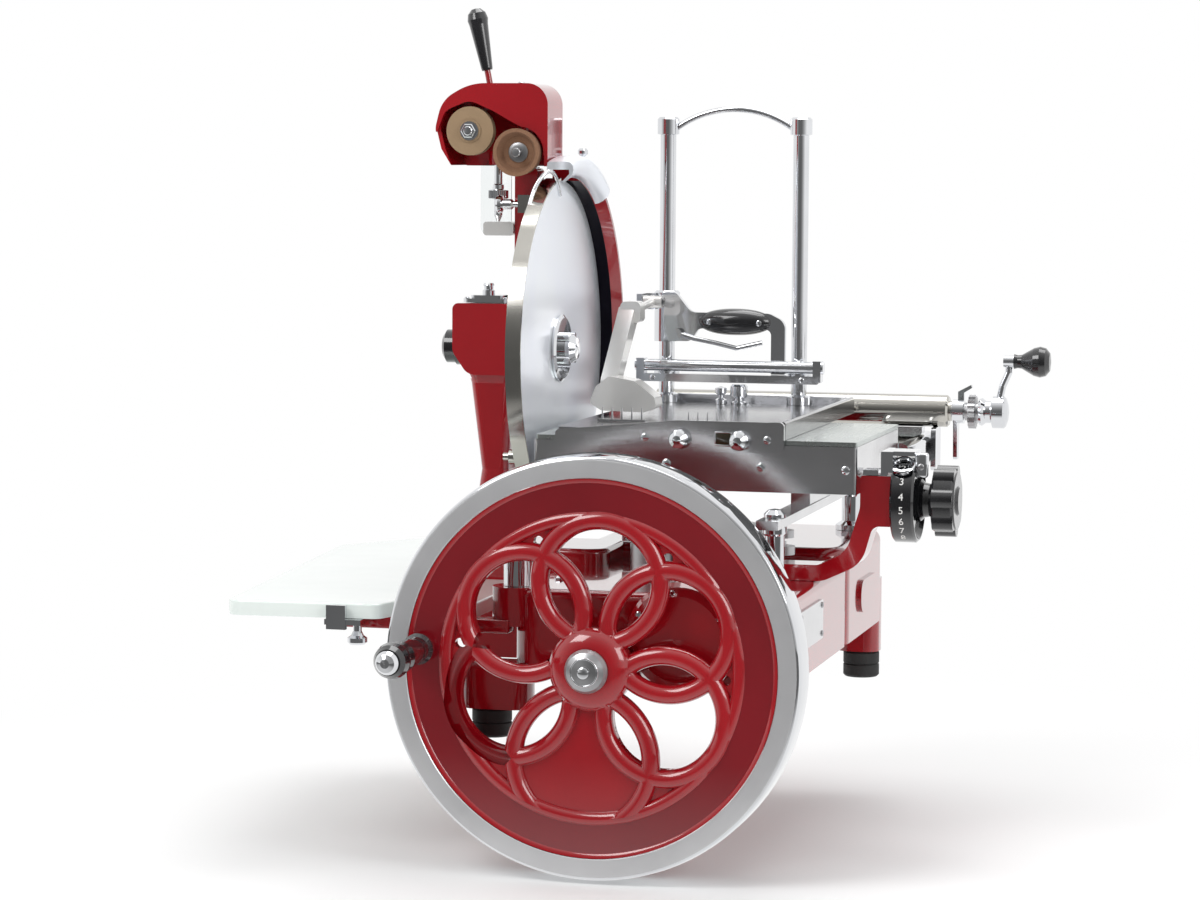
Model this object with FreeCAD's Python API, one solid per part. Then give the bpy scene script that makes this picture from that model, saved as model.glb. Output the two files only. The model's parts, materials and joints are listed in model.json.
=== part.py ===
import FreeCAD, Part
import math
import os

os.makedirs("parts", exist_ok=True)
V = FreeCAD.Vector

# ---------------------------------------------------------------- sizes, mm
SEAT = 0.3            # seat gap between touching parts
RUN = 0.05            # radial running clearance of a shaft in its bore

# feet and base casting
FOOT_X = 128
FOOT_Y = 225
FOOT_R = 18
FOOT_TOP = 26
BASE_LEFT = -109
BASE_RIGHT = 147
BASE_FRONT = -236
BASE_BACK = 245
WALL_BOTTOM = 57
FRONT_DECK = 135
REAR_DECK = 150
DECK_STEP_Y = 22
WALL = 8

# flywheel
WHEEL_X = -21
WHEEL_Z = 73
WHEEL_FACE_Y = -290
WHEEL_BACK_Y = -244
WHEEL_R = 188
RING_IN_R = 166
BAND_IN_R = 140
RIB_CIRCLE_R = 54.5
RIB_CENTRE_R = 77.2
RIB_HALF = 8.5
RIB_STEP = 58
WHEEL_TILT = 84.5
LOW_CENTRE_R = 81.9
LOW_CIRCLE_R = 62.3
SHAFT_R = 14
HUB_R = 37
HANDLE_R = 154
HANDLE_TURN = 90.5
HANDLE_BOSS_R = 11
BAND_RIB_R = 133
BAND_RIB_HALF = 6.6

# blade and its drive
BLADE_X = -131
BLADE_Z = 337
BLADE_R = 159.5
BLADE_T = 4
GUARD_IN_R = BLADE_R + 2
GUARD_OUT_R = BLADE_R + 15.5
KNOB_X = -118
KNOB_Y = 48
UPRIGHT_X = -186
BLADE_SHAFT_R = 10
MITRE_R = 24
HALF_GEAR_R = 12
TOP_GEAR_R = 20
CROSS_R = 6
UPRIGHT_R = 7

# carriage on its rails
ROD_X = -108
ROD_Z = 192
ROD_R = 8
BAR_X = 120
BAR_TOP = 200
CARRIAGE_LEFT = -119
CARRIAGE_RIGHT = 184
CARRIAGE_FRONT = -125
CARRIAGE_BACK = 100
CARRIAGE_BOTTOM = 217
CARRIAGE_TOP = 260
PLATE_T = 4

# crank that moves the carriage
THROW = 120
ROD_LENGTH = 190
CRANK_Y = -60
PIVOT_Y = 105
CRANK_Z = 151.5
ARM_T = 8
PIN_RISE = 4
PIN_GAP = 3.8         # the linkage is open here: the pin stops below the rod
ROD_LOW = CRANK_Z + ARM_T + PIN_RISE + PIN_GAP
ROD_T = 7
PIVOT_HEAD_T = 2.5

# meat table
TABLE_LEFT = -96
TABLE_RIGHT = 118
TABLE_BACK = 225
TABLE_FLOOR = 272
RIM_HEIGHT = 9
TABLE_RIM = TABLE_FLOOR + RIM_HEIGHT
COLUMN_LEFT = -73
COLUMN_RIGHT = 63
COLUMN_Y = 215
COLUMN_R = 8
COLUMN_TOP = 559

# feed screw behind the table
FEED_Y = 250
FEED_Z = 267
TUBE_R = 16
SCREW_R = 6

# thickness dial
DIAL_Y = -90
DIAL_Z = 211
DIAL_R = 39

# sharpener
POST_X = -155
POST_Y = -4
POST_R = 5
ARM_TOP = BLADE_Z + BLADE_R + 11.5
HEAD_LEFT = -241
HEAD_RIGHT = -130
HEAD_FRONT = -37
HEAD_BACK = 21
HEAD_TOP = ARM_TOP + 80
LEVER_Z = HEAD_TOP - 11
CUP_X = -158.5
CUP_Z = ARM_TOP + 15
FLAT_Z = ARM_TOP + 35
STOP_TOP = ARM_TOP - 51
TAB_Z = ARM_TOP - 34

# receiving plate
RECEIVER_TOP = 120
RECEIVER_T = 13.5


# ---------------------------------------------------------------- helpers
def box(x0, x1, y0, y1, z0, z1):
    return Part.makeBox(x1 - x0, y1 - y0, z1 - z0, V(x0, y0, z0))


def rod(radius, start, end):
    start = V(*start)
    along = V(*end).sub(start)
    return Part.makeCylinder(radius, along.Length, start, along)


def taper(radius_start, radius_end, start, end):
    start = V(*start)
    along = V(*end).sub(start)
    return Part.makeCone(radius_start, radius_end, along.Length, start, along)


def ball(radius, centre):
    return Part.makeSphere(radius, V(*centre))


def join(shapes):
    whole = shapes[0]
    for shape in shapes[1:]:
        whole = whole.fuse(shape)
    return whole.removeSplitter()


def turned(profile, origin, direction):
    """Revolve (radius, distance) points about the line through origin."""
    points = [V(radius, 0, distance) for radius, distance in profile]
    face = Part.Face(Part.makePolygon(points + [points[0]]))
    body = face.revolve(V(0, 0, 0), V(0, 0, 1), 360)
    turn = FreeCAD.Rotation(V(0, 0, 1), V(*direction))
    body.Placement = FreeCAD.Placement(V(*origin), turn)
    return body


def spot(plane, u, v, w):
    if plane == "xy":
        return V(u, v, w)
    if plane == "xz":
        return V(u, w, v)
    return V(w, u, v)


def outline(plane, corners, level):
    """Closed wire through corners (u, v) or (u, v, radius)."""
    count = len(corners)
    edges = []
    last = None
    first = None
    for index in range(count):
        here = corners[index]
        before = corners[index - 1]
        after = corners[(index + 1) % count]
        centre = V(here[0], here[1], 0)
        back = V(before[0], before[1], 0).sub(centre)
        ahead = V(after[0], after[1], 0).sub(centre)
        back.normalize()
        ahead.normalize()
        radius = here[2] if len(here) > 2 else 0
        if radius > 0:
            half = back.getAngle(ahead) / 2
            reach = radius / math.tan(half)
            bisector = back.add(ahead)
            bisector.normalize()
            deep = radius / math.sin(half) - radius
            enter = centre.add(back * reach)
            middle = centre.add(bisector * deep)
            leave = centre.add(ahead * reach)
            a = spot(plane, enter.x, enter.y, level)
            b = spot(plane, middle.x, middle.y, level)
            c = spot(plane, leave.x, leave.y, level)
            arc = Part.Arc(a, b, c).toShape()
        else:
            a = spot(plane, here[0], here[1], level)
            c = a
            arc = None
        if last is not None and last.distanceToPoint(a) > 1e-4:
            edges.append(Part.makeLine(last, a))
        if arc is not None:
            edges.append(arc)
        if first is None:
            first = a
        last = c
    if last.distanceToPoint(first) > 1e-4:
        edges.append(Part.makeLine(last, first))
    return Part.Wire(edges)


def slab(plane, corners, low, high):
    face = Part.Face(outline(plane, corners, low))
    return face.extrude(spot(plane, 0, 0, high - low))


def rounded(x0, x1, y0, y1, radius):
    return [(x0, y0, radius), (x1, y0, radius), (x1, y1, radius), (x0, y1, radius)]


def bent_rod(radius, points):
    """Round rod in straight lengths, with a ball at each bend."""
    pieces = []
    for index in range(len(points) - 1):
        pieces.append(rod(radius, points[index], points[index + 1]))
    for point in points[1:-1]:
        pieces.append(ball(radius, point))
    return join(pieces)


def bevel_gear(big_r, small_r, depth, centre, direction, teeth):
    """Bevel gear with a toothed outline, wide end at centre."""
    wires = []
    for radius, distance in ((big_r, 0), (small_r, depth)):
        points = []
        for index in range(teeth * 4):
            angle = 2 * math.pi * index / (teeth * 4)
            crest = radius if index % 4 < 2 else radius * 0.88
            points.append(V(crest * math.cos(angle), crest * math.sin(angle), distance))
        wires.append(Part.makePolygon(points + [points[0]]))
    gear = Part.makeLoft(wires, True, True)
    turn = FreeCAD.Rotation(V(0, 0, 1), V(*direction))
    gear.Placement = FreeCAD.Placement(V(*centre), turn)
    return gear


def top_fillet(shape, level, radius):
    """Round every edge that lies wholly in the plane z = level."""
    edges = []
    for edge in shape.Edges:
        low = edge.BoundBox.ZMin
        high = edge.BoundBox.ZMax
        if abs(low - level) < 1e-3 and abs(high - level) < 1e-3:
            edges.append(edge)
    return shape.makeFillet(radius, edges)


def save(shape, name):
    shape.exportStep("parts/" + name + ".step")


# ---------------------------------------------------------------- base
def make_base_casting():
    inner_left = BASE_LEFT + WALL
    inner_right = BASE_RIGHT - WALL
    front = slab("xy", rounded(BASE_LEFT, BASE_RIGHT, BASE_FRONT, DECK_STEP_Y + 30, 28),
                 WALL_BOTTOM, FRONT_DECK)
    front = top_fillet(front, FRONT_DECK, 8)
    rear = slab("xy", rounded(BASE_LEFT, BASE_RIGHT, DECK_STEP_Y, BASE_BACK, 28),
                WALL_BOTTOM, REAR_DECK)
    rear = top_fillet(rear, REAR_DECK, 12)
    lobe = slab("xy", rounded(UPRIGHT_X - 26, BASE_LEFT + 40, -48, 48, 20), 44, REAR_DECK)
    lobe = top_fillet(lobe, REAR_DECK, 5)
    body = join([front, rear, lobe])
    hollow_front = slab("xy", rounded(inner_left, inner_right, BASE_FRONT + WALL,
                                      DECK_STEP_Y + 10, 20), 30, FRONT_DECK - WALL)
    hollow_rear = slab("xy", rounded(inner_left, inner_right, DECK_STEP_Y + WALL,
                                     BASE_BACK - WALL, 20), 30, REAR_DECK - WALL)
    hollow_link = box(inner_left + 12, inner_right - 12, -30, DECK_STEP_Y + 40,
                      30, FRONT_DECK - WALL)
    hollow_lobe = slab("xy", rounded(UPRIGHT_X - 26 + WALL, BASE_LEFT - 2,
                                     -48 + WALL, 48 - WALL, 12), 30, REAR_DECK - WALL)
    body = body.cut(hollow_front).cut(hollow_rear).cut(hollow_link).cut(hollow_lobe)
    pieces = [body]
    for side_y in (-FOOT_Y, FOOT_Y):
        ear = slab("xy", rounded(-155, BASE_LEFT + 20, side_y - 20, side_y + 19, 18),
                   FOOT_TOP + SEAT, 68)
        ear = top_fillet(ear, 68, 6)
        leg = slab("xy", rounded(BASE_RIGHT - 42, BASE_RIGHT, side_y - 18, side_y + 18, 14),
                   FOOT_TOP + SEAT, 100)
        pieces.append(ear)
        pieces.append(leg)
    boss = rod(20, (ROD_X - 2, -215, 100), (ROD_X - 2, -215, FRONT_DECK))
    bearing = rod(30, (WHEEL_X, BASE_FRONT - 4, WHEEL_Z), (WHEEL_X, BASE_FRONT + 34, WHEEL_Z))
    crank_boss = rod(20, (WHEEL_X, CRANK_Y, 108), (WHEEL_X, CRANK_Y, FRONT_DECK))
    rib = box(WHEEL_X - 38, WHEEL_X + 38, -130, -118, 50, FRONT_DECK - 2)
    upright_boss = rod(16, (UPRIGHT_X, 0, 120), (UPRIGHT_X, 0, REAR_DECK))
    pad = slab("yz", [(98, 79, 15), (188, 79, 15), (188, 111, 15), (98, 111, 15)],
               BASE_RIGHT - 2, BASE_RIGHT + 3)
    body = join(pieces + [boss, bearing, crank_boss, rib, upright_boss, pad])
    holes = [
        rod(SHAFT_R + RUN, (WHEEL_X, BASE_FRONT - 10, WHEEL_Z), (WHEEL_X, -110, WHEEL_Z)),
        rod(8 + RUN, (WHEEL_X, CRANK_Y, 100), (WHEEL_X, CRANK_Y, FRONT_DECK + 10)),
        rod(UPRIGHT_R + RUN, (UPRIGHT_X, 0, 110), (UPRIGHT_X, 0, REAR_DECK + 10)),
        rod(CROSS_R + RUN, (BASE_LEFT - 20, 0, WHEEL_Z), (inner_left + 10, 0, WHEEL_Z)),
    ]
    for side_x in (-FOOT_X, FOOT_X):
        for side_y in (-FOOT_Y, FOOT_Y):
            holes.append(rod(5, (side_x, side_y, 20), (side_x, side_y, 60)))
    for hole in holes:
        body = body.cut(hole)
    return body


def make_rubber_feet():
    feet = []
    profile = [(5, 0), (16, 0), (FOOT_R, 2), (FOOT_R, 12), (FOOT_R - 1, 13),
               (FOOT_R, 14), (FOOT_R, FOOT_TOP - 2), (16, FOOT_TOP), (5, FOOT_TOP)]
    for side_x in (-FOOT_X, FOOT_X):
        for side_y in (-FOOT_Y, FOOT_Y):
            feet.append(turned(profile, (side_x, side_y, 0), (0, 0, 1)))
    return Part.makeCompound(feet)


def make_side_cover_plate():
    return slab("yz", [(-204, 82, 3), (-95, 82, 3), (-95, 118, 3), (-204, 118, 3)],
                BASE_RIGHT + SEAT, BASE_RIGHT + SEAT + 2)


def make_drive_cover():
    """Round cover with a domed front on the front wall."""
    centre = (52, BASE_FRONT - SEAT, 98)
    profile = [(0, 0), (50, 0), (50, 12), (46, 19), (38, 23), (0, 25)]
    cover = turned(profile, centre, (0, -1, 0))
    return cover.cut(rod(HUB_R - 2, (WHEEL_X, -280, WHEEL_Z), (WHEEL_X, -200, WHEEL_Z)))


def make_carriage_rails():
    round_rail = rod(ROD_R, (ROD_X, -232, ROD_Z), (ROD_X, 244, ROD_Z))
    flat_rail = box(BAR_X - 10, BAR_X + 10, -212, 232, BAR_TOP - 8, BAR_TOP)
    flat_rail = flat_rail.cut(rod(4.3, (BAR_X, -177, 180), (BAR_X, -177, 210)))
    flat_rail = flat_rail.cut(rod(4.3, (BAR_X, 200, 180), (BAR_X, 200, 210)))
    return Part.makeCompound([round_rail, flat_rail])


def make_rail_posts():
    posts = []
    for post_y, deck in ((-177, FRONT_DECK), (200, REAR_DECK)):
        foot = deck + SEAT
        top = BAR_TOP - 8 - SEAT
        profile = [(0, foot), (15, foot), (15, foot + 5), (9, foot + 9), (9, top - 8),
                   (11, top - 6), (11, top), (4, top), (4, BAR_TOP + SEAT),
                   (10, BAR_TOP + SEAT), (10, BAR_TOP + 3), (6, BAR_TOP + 7),
                   (0, BAR_TOP + 8)]
        posts.append(turned(profile, (BAR_X, post_y, 0), (0, 0, 1)))
    for post_y, deck in ((-215, FRONT_DECK), (236, REAR_DECK)):
        foot = deck + SEAT
        radius = 12 if post_y < 0 else 7.5
        pillar = rod(radius, (ROD_X, post_y, foot), (ROD_X, post_y, ROD_Z + 13))
        bore = rod(ROD_R + SEAT, (ROD_X, post_y - 20, ROD_Z), (ROD_X, post_y + 20, ROD_Z))
        if post_y > 0:
            pillar = box(ROD_X - 14, ROD_X + 14, post_y - 7, post_y + 7, foot, ROD_Z + 13)
        posts.append(pillar.cut(bore))
    return Part.makeCompound(posts)


# ---------------------------------------------------------------- blade drive
def lofted(sections):
    """Loft between rounded rectangles given as (z, x0, x1, y0, y1, radius)."""
    wires = []
    for level, x0, x1, y0, y1, radius in sections:
        wires.append(outline("xy", rounded(x0, x1, y0, y1, radius), level))
    return Part.makeLoft(wires, True, True)


def make_blade_column():
    foot = REAR_DECK + SEAT
    flange = slab("xy", rounded(UPRIGHT_X - 24, UPRIGHT_X + 20, -44, 44, 14), foot, foot + 8)
    lower = lofted([(foot + 4, -207, -167, -32, 32, 8), (221, -199.5, -172.5, -23, 23, 8)])
    upper = lofted([(221, -199.5, -172.5, -23, 23, 8), (304, -208, -166, -31, 31, 9)])
    neck = lofted([(304, -208, -166, -31, 31, 9), (322, -212, -162, -36, 36, 9)])
    side = [(-223, 380, 6), (-159, 380, 6), (-159, 312, 6), (-208, 312, 14), (-223, 334, 14)]
    housing = slab("xz", side, -38, 38)
    body = join([flange, lower, upper, neck, housing])
    cavity = box(-215, -165.5, -30, 30, 308, 372)
    body = body.cut(cavity)
    body = body.cut(rod(11, (UPRIGHT_X, 0, 140), (UPRIGHT_X, 0, 296)))
    body = body.cut(rod(UPRIGHT_R + RUN, (UPRIGHT_X, 0, 290), (UPRIGHT_X, 0, 312)))
    body = body.cut(rod(BLADE_SHAFT_R + RUN, (-230, 0, BLADE_Z), (-150, 0, BLADE_Z)))
    return body


def make_gearbox_top_cover():
    """Stepped lid with the oil cup standing on it."""
    lid = slab("xy", rounded(-217, -172, -26, 26, 6), 380 + SEAT, 384)
    step = slab("xy", rounded(-211, -178, -20, 20, 5), 383, 387)
    cup = turned([(0, 386), (6, 386), (6, 391), (4.5, 392), (4.5, 395), (5.5, 396),
                  (4.5, 398), (0, 398.5)], (-198, 0, 0), (0, 0, 1))
    return join([lid, step, cup])


def make_shaft_end_cap():
    profile = [(0, 0), (18, 0), (18, 5), (16, 6), (16, 15), (12, 18), (0, 18)]
    cap = turned(profile, (-223 - SEAT, 0, BLADE_Z), (-1, 0, 0))
    return cap.cut(rod(11, (-223, 0, BLADE_Z), (-236, 0, BLADE_Z)))


def make_cross_shaft():
    """Level shaft under the deck with a gear at each end."""
    right_x = WHEEL_X - MITRE_R
    left_x = UPRIGHT_X + HALF_GEAR_R
    spindle = rod(CROSS_R, (left_x - 2, 0, WHEEL_Z), (right_x + 4, 0, WHEEL_Z))
    right = bevel_gear(MITRE_R - 0.4, MITRE_R * 0.75 - 0.4, MITRE_R / 4,
                       (right_x, 0, WHEEL_Z), (1, 0, 0), 20)
    right_hub = rod(11, (right_x - 10, 0, WHEEL_Z), (right_x, 0, WHEEL_Z))
    left = bevel_gear(MITRE_R - 0.4, MITRE_R * 0.75 - 0.4, HALF_GEAR_R / 4,
                      (left_x, 0, WHEEL_Z), (-1, 0, 0), 20)
    left_hub = rod(11, (left_x, 0, WHEEL_Z), (left_x + 12, 0, WHEEL_Z))
    return join([spindle, right, right_hub, left, left_hub])


def make_upright_shaft():
    gear_low = WHEEL_Z + MITRE_R
    gear_high = BLADE_Z - TOP_GEAR_R
    spindle = rod(UPRIGHT_R, (UPRIGHT_X, 0, gear_low - 3), (UPRIGHT_X, 0, gear_high + 4))
    low = bevel_gear(HALF_GEAR_R - 0.4, HALF_GEAR_R * 0.75 - 0.4, MITRE_R / 4,
                     (UPRIGHT_X, 0, gear_low), (0, 0, -1), 10)
    low_hub = rod(9, (UPRIGHT_X, 0, gear_low), (UPRIGHT_X, 0, 118))
    high = bevel_gear(TOP_GEAR_R - 0.4, TOP_GEAR_R * 0.65 - 0.4, TOP_GEAR_R * 0.35,
                      (UPRIGHT_X, 0, gear_high), (0, 0, 1), 16)
    return join([spindle, low, low_hub, high])


def make_blade_shaft():
    gear_x = UPRIGHT_X - TOP_GEAR_R
    spindle = rod(BLADE_SHAFT_R, (-234, 0, BLADE_Z), (-114, 0, BLADE_Z))
    gear = bevel_gear(TOP_GEAR_R - 0.4, TOP_GEAR_R * 0.65 - 0.4, TOP_GEAR_R * 0.35,
                      (gear_x, 0, BLADE_Z), (1, 0, 0), 16)
    hub = rod(14, (gear_x - 7, 0, BLADE_Z), (gear_x, 0, BLADE_Z))
    flange = turned([(0, -157), (17, -157), (20, -148), (40, -136), (40, BLADE_X - SEAT),
                     (0, BLADE_X - SEAT)], (0, 0, BLADE_Z), (1, 0, 0))
    return join([spindle, gear, hub, flange])


def make_blade():
    hole = BLADE_SHAFT_R + SEAT
    bevel = BLADE_R - 9.5
    profile = [(hole, 0), (60, 0), (bevel, 1.0), (BLADE_R, 2.6), (BLADE_R, 3.0),
               (bevel, 3.6), (60, BLADE_T), (hole, BLADE_T)]
    blade = turned(profile, (BLADE_X, 0, BLADE_Z), (1, 0, 0))
    return blade.cut(rod(2.5, (BLADE_X - 2, 54, BLADE_Z + 3), (BLADE_X + 8, 54, BLADE_Z + 3)))


def make_blade_hub_nut():
    """Clamping ring and four-lobed nut on the end of the blade shaft."""
    start = BLADE_X + BLADE_T + SEAT
    hole = BLADE_SHAFT_R + SEAT
    ring = turned([(hole, start), (32, start), (32, start + 2), (29, start + 4),
                   (hole, start + 4)], (0, 0, BLADE_Z), (1, 0, 0))
    nut = turned([(0, start + 13), (hole, start + 13), (hole, start + 3), (14, start + 3),
                  (14, start + 12), (10, start + 17), (0, start + 18)],
                 (0, 0, BLADE_Z), (1, 0, 0))
    wings = []
    for index in range(4):
        angle = math.radians(45 + 90 * index)
        tip = (0, 15 * math.cos(angle), BLADE_Z + 15 * math.sin(angle))
        wings.append(rod(4, (start + 4, tip[1], tip[2]), (start + 12, tip[1], tip[2])))
    return join([ring, nut] + wings)


def sector(angle_low, angle_high, x0, x1):
    """Wedge about the blade axis, angles from +Y toward +Z."""
    reach = 400
    points = [(0, BLADE_Z)]
    steps = 4
    for index in range(steps + 1):
        angle = math.radians(angle_low + (angle_high - angle_low) * index / steps)
        points.append((reach * math.cos(angle), BLADE_Z + reach * math.sin(angle)))
    return slab("yz", points, x0, x1)


def about_blade(section, angle_low, angle_high):
    """Part of a ring about the blade axis from a (radius, x) section."""
    ring = turned(section, (0, 0, BLADE_Z), (1, 0, 0))
    return ring.common(sector(angle_low, angle_high, -200, -60))


def make_blade_guard():
    """Ring behind the far edge of the blade, with the arm that carries it."""
    section = [(GUARD_IN_R, -139), (GUARD_IN_R, -117), (GUARD_OUT_R - 4, -108),
               (GUARD_OUT_R, -108), (GUARD_OUT_R, -143), (GUARD_IN_R - 11.5, -143),
               (GUARD_IN_R - 11.5, -139)]
    ring = about_blade(section, -22, 80)
    arm = slab("xz", rounded(-169, -147, 380 + SEAT, ARM_TOP, 3), -12, 12)
    rim = BLADE_Z + BLADE_R
    head = slab("xy", rounded(-169, -142, -12, 52, 4), rim - 26.5, rim + 0.5)
    return join([ring, arm, head])


def make_guard_top_cap():
    edge = GUARD_OUT_R
    section = [(edge + SEAT, -145), (edge + 4, -145), (edge + 8, -139), (edge + 8, -113),
               (edge + 5, -106), (edge - 3, -103), (edge - 4, -105),
               (edge + SEAT, -108 + SEAT)]
    cap = about_blade(section, 35, 79)
    hole_z = BLADE_Z + GUARD_OUT_R
    return cap.cut(rod(2.3, (KNOB_X, KNOB_Y, hole_z - 22), (KNOB_X, KNOB_Y, hole_z + 18)))


def make_guard_knob():
    foot = BLADE_Z + math.sqrt((GUARD_OUT_R + 8) ** 2 - KNOB_Y ** 2) - 0.6
    profile = [(0, foot), (2, foot), (2, foot + 6), (3, foot + 7), (5, foot + 9),
               (5, foot + 12), (3.5, foot + 14), (0, foot + 14.5)]
    return turned(profile, (KNOB_X, KNOB_Y, 0), (0, 0, 1))


def make_slice_deflector():
    """Curved bright strip round the near edge of the blade with a back plate."""
    near = GUARD_IN_R
    band = [(near, -120.5), (near + 2, -120.5), (near + 2, -135), (112, -137.5),
            (112, -136), (near, -133.4)]
    strip = about_blade(band, 98, 226)
    tab = box(-160, -134, -34, -12 - SEAT, TAB_Z - 8, TAB_Z + 9)
    tab = tab.cut(rod(3 + SEAT, (-170, -26, TAB_Z), (-120, -26, TAB_Z)))
    low_lug = rod(7, (-150, -92, 240), (-134.5, -92, 240))
    low_pin = rod(4, (-156, -92, 240), (-150, -92, 240))
    return join([strip, tab, low_lug, low_pin])


def make_deflector_screw():
    head = turned([(0, -182), (8, -182), (9, -180), (8, -177), (5, -176), (5, -168),
                   (3, -166), (3, -146), (0, -146)], (0, -26, TAB_Z), (1, 0, 0))
    return head


# ---------------------------------------------------------------- flywheel
def wheel_point(radius, offset, y):
    angle = math.radians(WHEEL_TILT + offset)
    return (WHEEL_X + radius * math.cos(angle), y, WHEEL_Z + radius * math.sin(angle))


def rib_ring(circle_r, half, centre):
    """Ring with an eight-sided rib section, flats to the front and the back."""
    points = []
    for side in range(8):
        angle = math.radians(22.5 + 45 * side)
        reach = half / math.cos(math.radians(22.5))
        points.append((circle_r + reach * math.cos(angle), reach * math.sin(angle)))
    return turned(points, centre, (0, 1, 0))


def round_rib(centre_r, offset, circle_r):
    """Rib that follows one circle of the openwork."""
    return rib_ring(circle_r, RIB_HALF, wheel_point(centre_r, offset, WHEEL_FACE_Y + 7))


def make_flywheel():
    """Openwork casting: rim, lettering band, overlapping rib circles and hub."""
    face = WHEEL_FACE_Y
    deep = WHEEL_BACK_Y - WHEEL_FACE_Y
    rim_profile = [(168, 0), (184, 0), (187, 2), (WHEEL_R, 8), (WHEEL_R, deep - 8),
                   (187, deep - 2), (184, deep), (178, deep), (173, deep - 6), (173, 18),
                   (RING_IN_R, 15), (BAND_IN_R - 6, 15), (BAND_IN_R - 6, 3),
                   (RING_IN_R, 3), (RING_IN_R, 1)]
    rim = turned(rim_profile, (WHEEL_X, face, WHEEL_Z), (0, 1, 0))
    web = rod(BAND_IN_R - 4, (WHEEL_X, face + 6, WHEEL_Z), (WHEEL_X, face + 14, WHEEL_Z))
    offsets = [RIB_STEP * step for step in (-2, -1, 0, 1, 2)]
    for offset in offsets:
        start = wheel_point(RIB_CENTRE_R, offset, face)
        end = wheel_point(RIB_CENTRE_R, offset, face + 30)
        web = web.cut(rod(RIB_CIRCLE_R - RIB_HALF, start, end))
    for offset in (-87, -29, 29, 87):
        start = wheel_point(121, offset, face)
        end = wheel_point(121, offset, face + 30)
        web = web.cut(rod(4.5, start, end))
    hub = turned([(0, -10), (20, -10), (30, -6), (HUB_R, 0), (HUB_R, 12), (30, 16),
                  (28, deep - 2), (0, deep - 2)], (WHEEL_X, face, WHEEL_Z), (0, 1, 0))
    band_rib = rib_ring(BAND_RIB_R, BAND_RIB_HALF, (WHEEL_X, face + 7, WHEEL_Z))
    ribs = [round_rib(RIB_CENTRE_R, offset, RIB_CIRCLE_R) for offset in offsets]
    low_rib = round_rib(LOW_CENTRE_R, 180, LOW_CIRCLE_R)
    inside = rod(BAND_RIB_R, (WHEEL_X, face - 20, WHEEL_Z), (WHEEL_X, face + 40, WHEEL_Z))
    low_rib = low_rib.common(inside)
    boss_start = wheel_point(HANDLE_R, HANDLE_TURN, face - 4)
    boss_end = wheel_point(HANDLE_R, HANDLE_TURN, face + 22)
    boss = rod(HANDLE_BOSS_R, boss_start, boss_end)
    wheel = rim.fuse([web, band_rib, hub, boss, low_rib] + ribs)
    bore = rod(SHAFT_R + SEAT, (WHEEL_X, face - 30, WHEEL_Z), (WHEEL_X, face + 60, WHEEL_Z))
    pin_start = wheel_point(HANDLE_R, HANDLE_TURN, face - 10)
    pin_end = wheel_point(HANDLE_R, HANDLE_TURN, face + 40)
    wheel = wheel.cut(bore)
    return wheel.cut(rod(6 + SEAT, pin_start, pin_end))


def make_flywheel_shaft():
    """Main shaft with two bevel gears and the domed hub cap in front."""
    front = WHEEL_FACE_Y - 10 - SEAT
    spindle = rod(SHAFT_R, (WHEEL_X, front, WHEEL_Z), (WHEEL_X, -100, WHEEL_Z))
    tail = rod(10, (WHEEL_X, -100, WHEEL_Z), (WHEEL_X, -17, WHEEL_Z))
    cap = turned([(0, 0), (19.5, 0), (19.5, 2), (17, 6), (11, 9.5), (6, 10.5), (6, 12),
                  (0, 12.5)], (WHEEL_X, front, WHEEL_Z), (0, -1, 0))
    pieces = [spindle, tail, cap]
    for apex_y in (CRANK_Y, 0):
        centre = (WHEEL_X, apex_y - MITRE_R, WHEEL_Z)
        pieces.append(bevel_gear(MITRE_R - 0.4, MITRE_R * 0.75 - 0.4, MITRE_R / 4,
                                 centre, (0, 1, 0), 20))
    return join(pieces)


def make_handle_spindle():
    """Pin through the wheel boss, collar, and domed end screw over the grip."""
    start = wheel_point(HANDLE_R, HANDLE_TURN, 0)
    boss = WHEEL_FACE_Y - 4
    profile = [(0, boss + 22), (6, boss + 22), (6, boss - SEAT), (13, boss - SEAT),
               (13, boss - 4), (6, boss - 4), (6, -388), (10.5, -388), (10.5, -390),
               (8, -394), (4, -396), (0, -396.5)]
    return turned(profile, (start[0], 0, start[2]), (0, 1, 0))


def make_handle_grip():
    start = wheel_point(HANDLE_R, HANDLE_TURN, 0)
    near = WHEEL_FACE_Y - 8 - SEAT
    outer = [(13.5, near), (14, near - 3), (11.5, near - 7), (11, near - 14),
             (13, near - 40), (14, near - 55), (12.5, near - 62), (14.5, near - 68),
             (16, near - 76), (14.5, near - 84), (11.5, -388 + SEAT)]
    profile = [(6 + RUN, near)] + outer + [(6 + RUN, -388 + SEAT)]
    return turned(profile, (start[0], 0, start[2]), (0, 1, 0))


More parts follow.
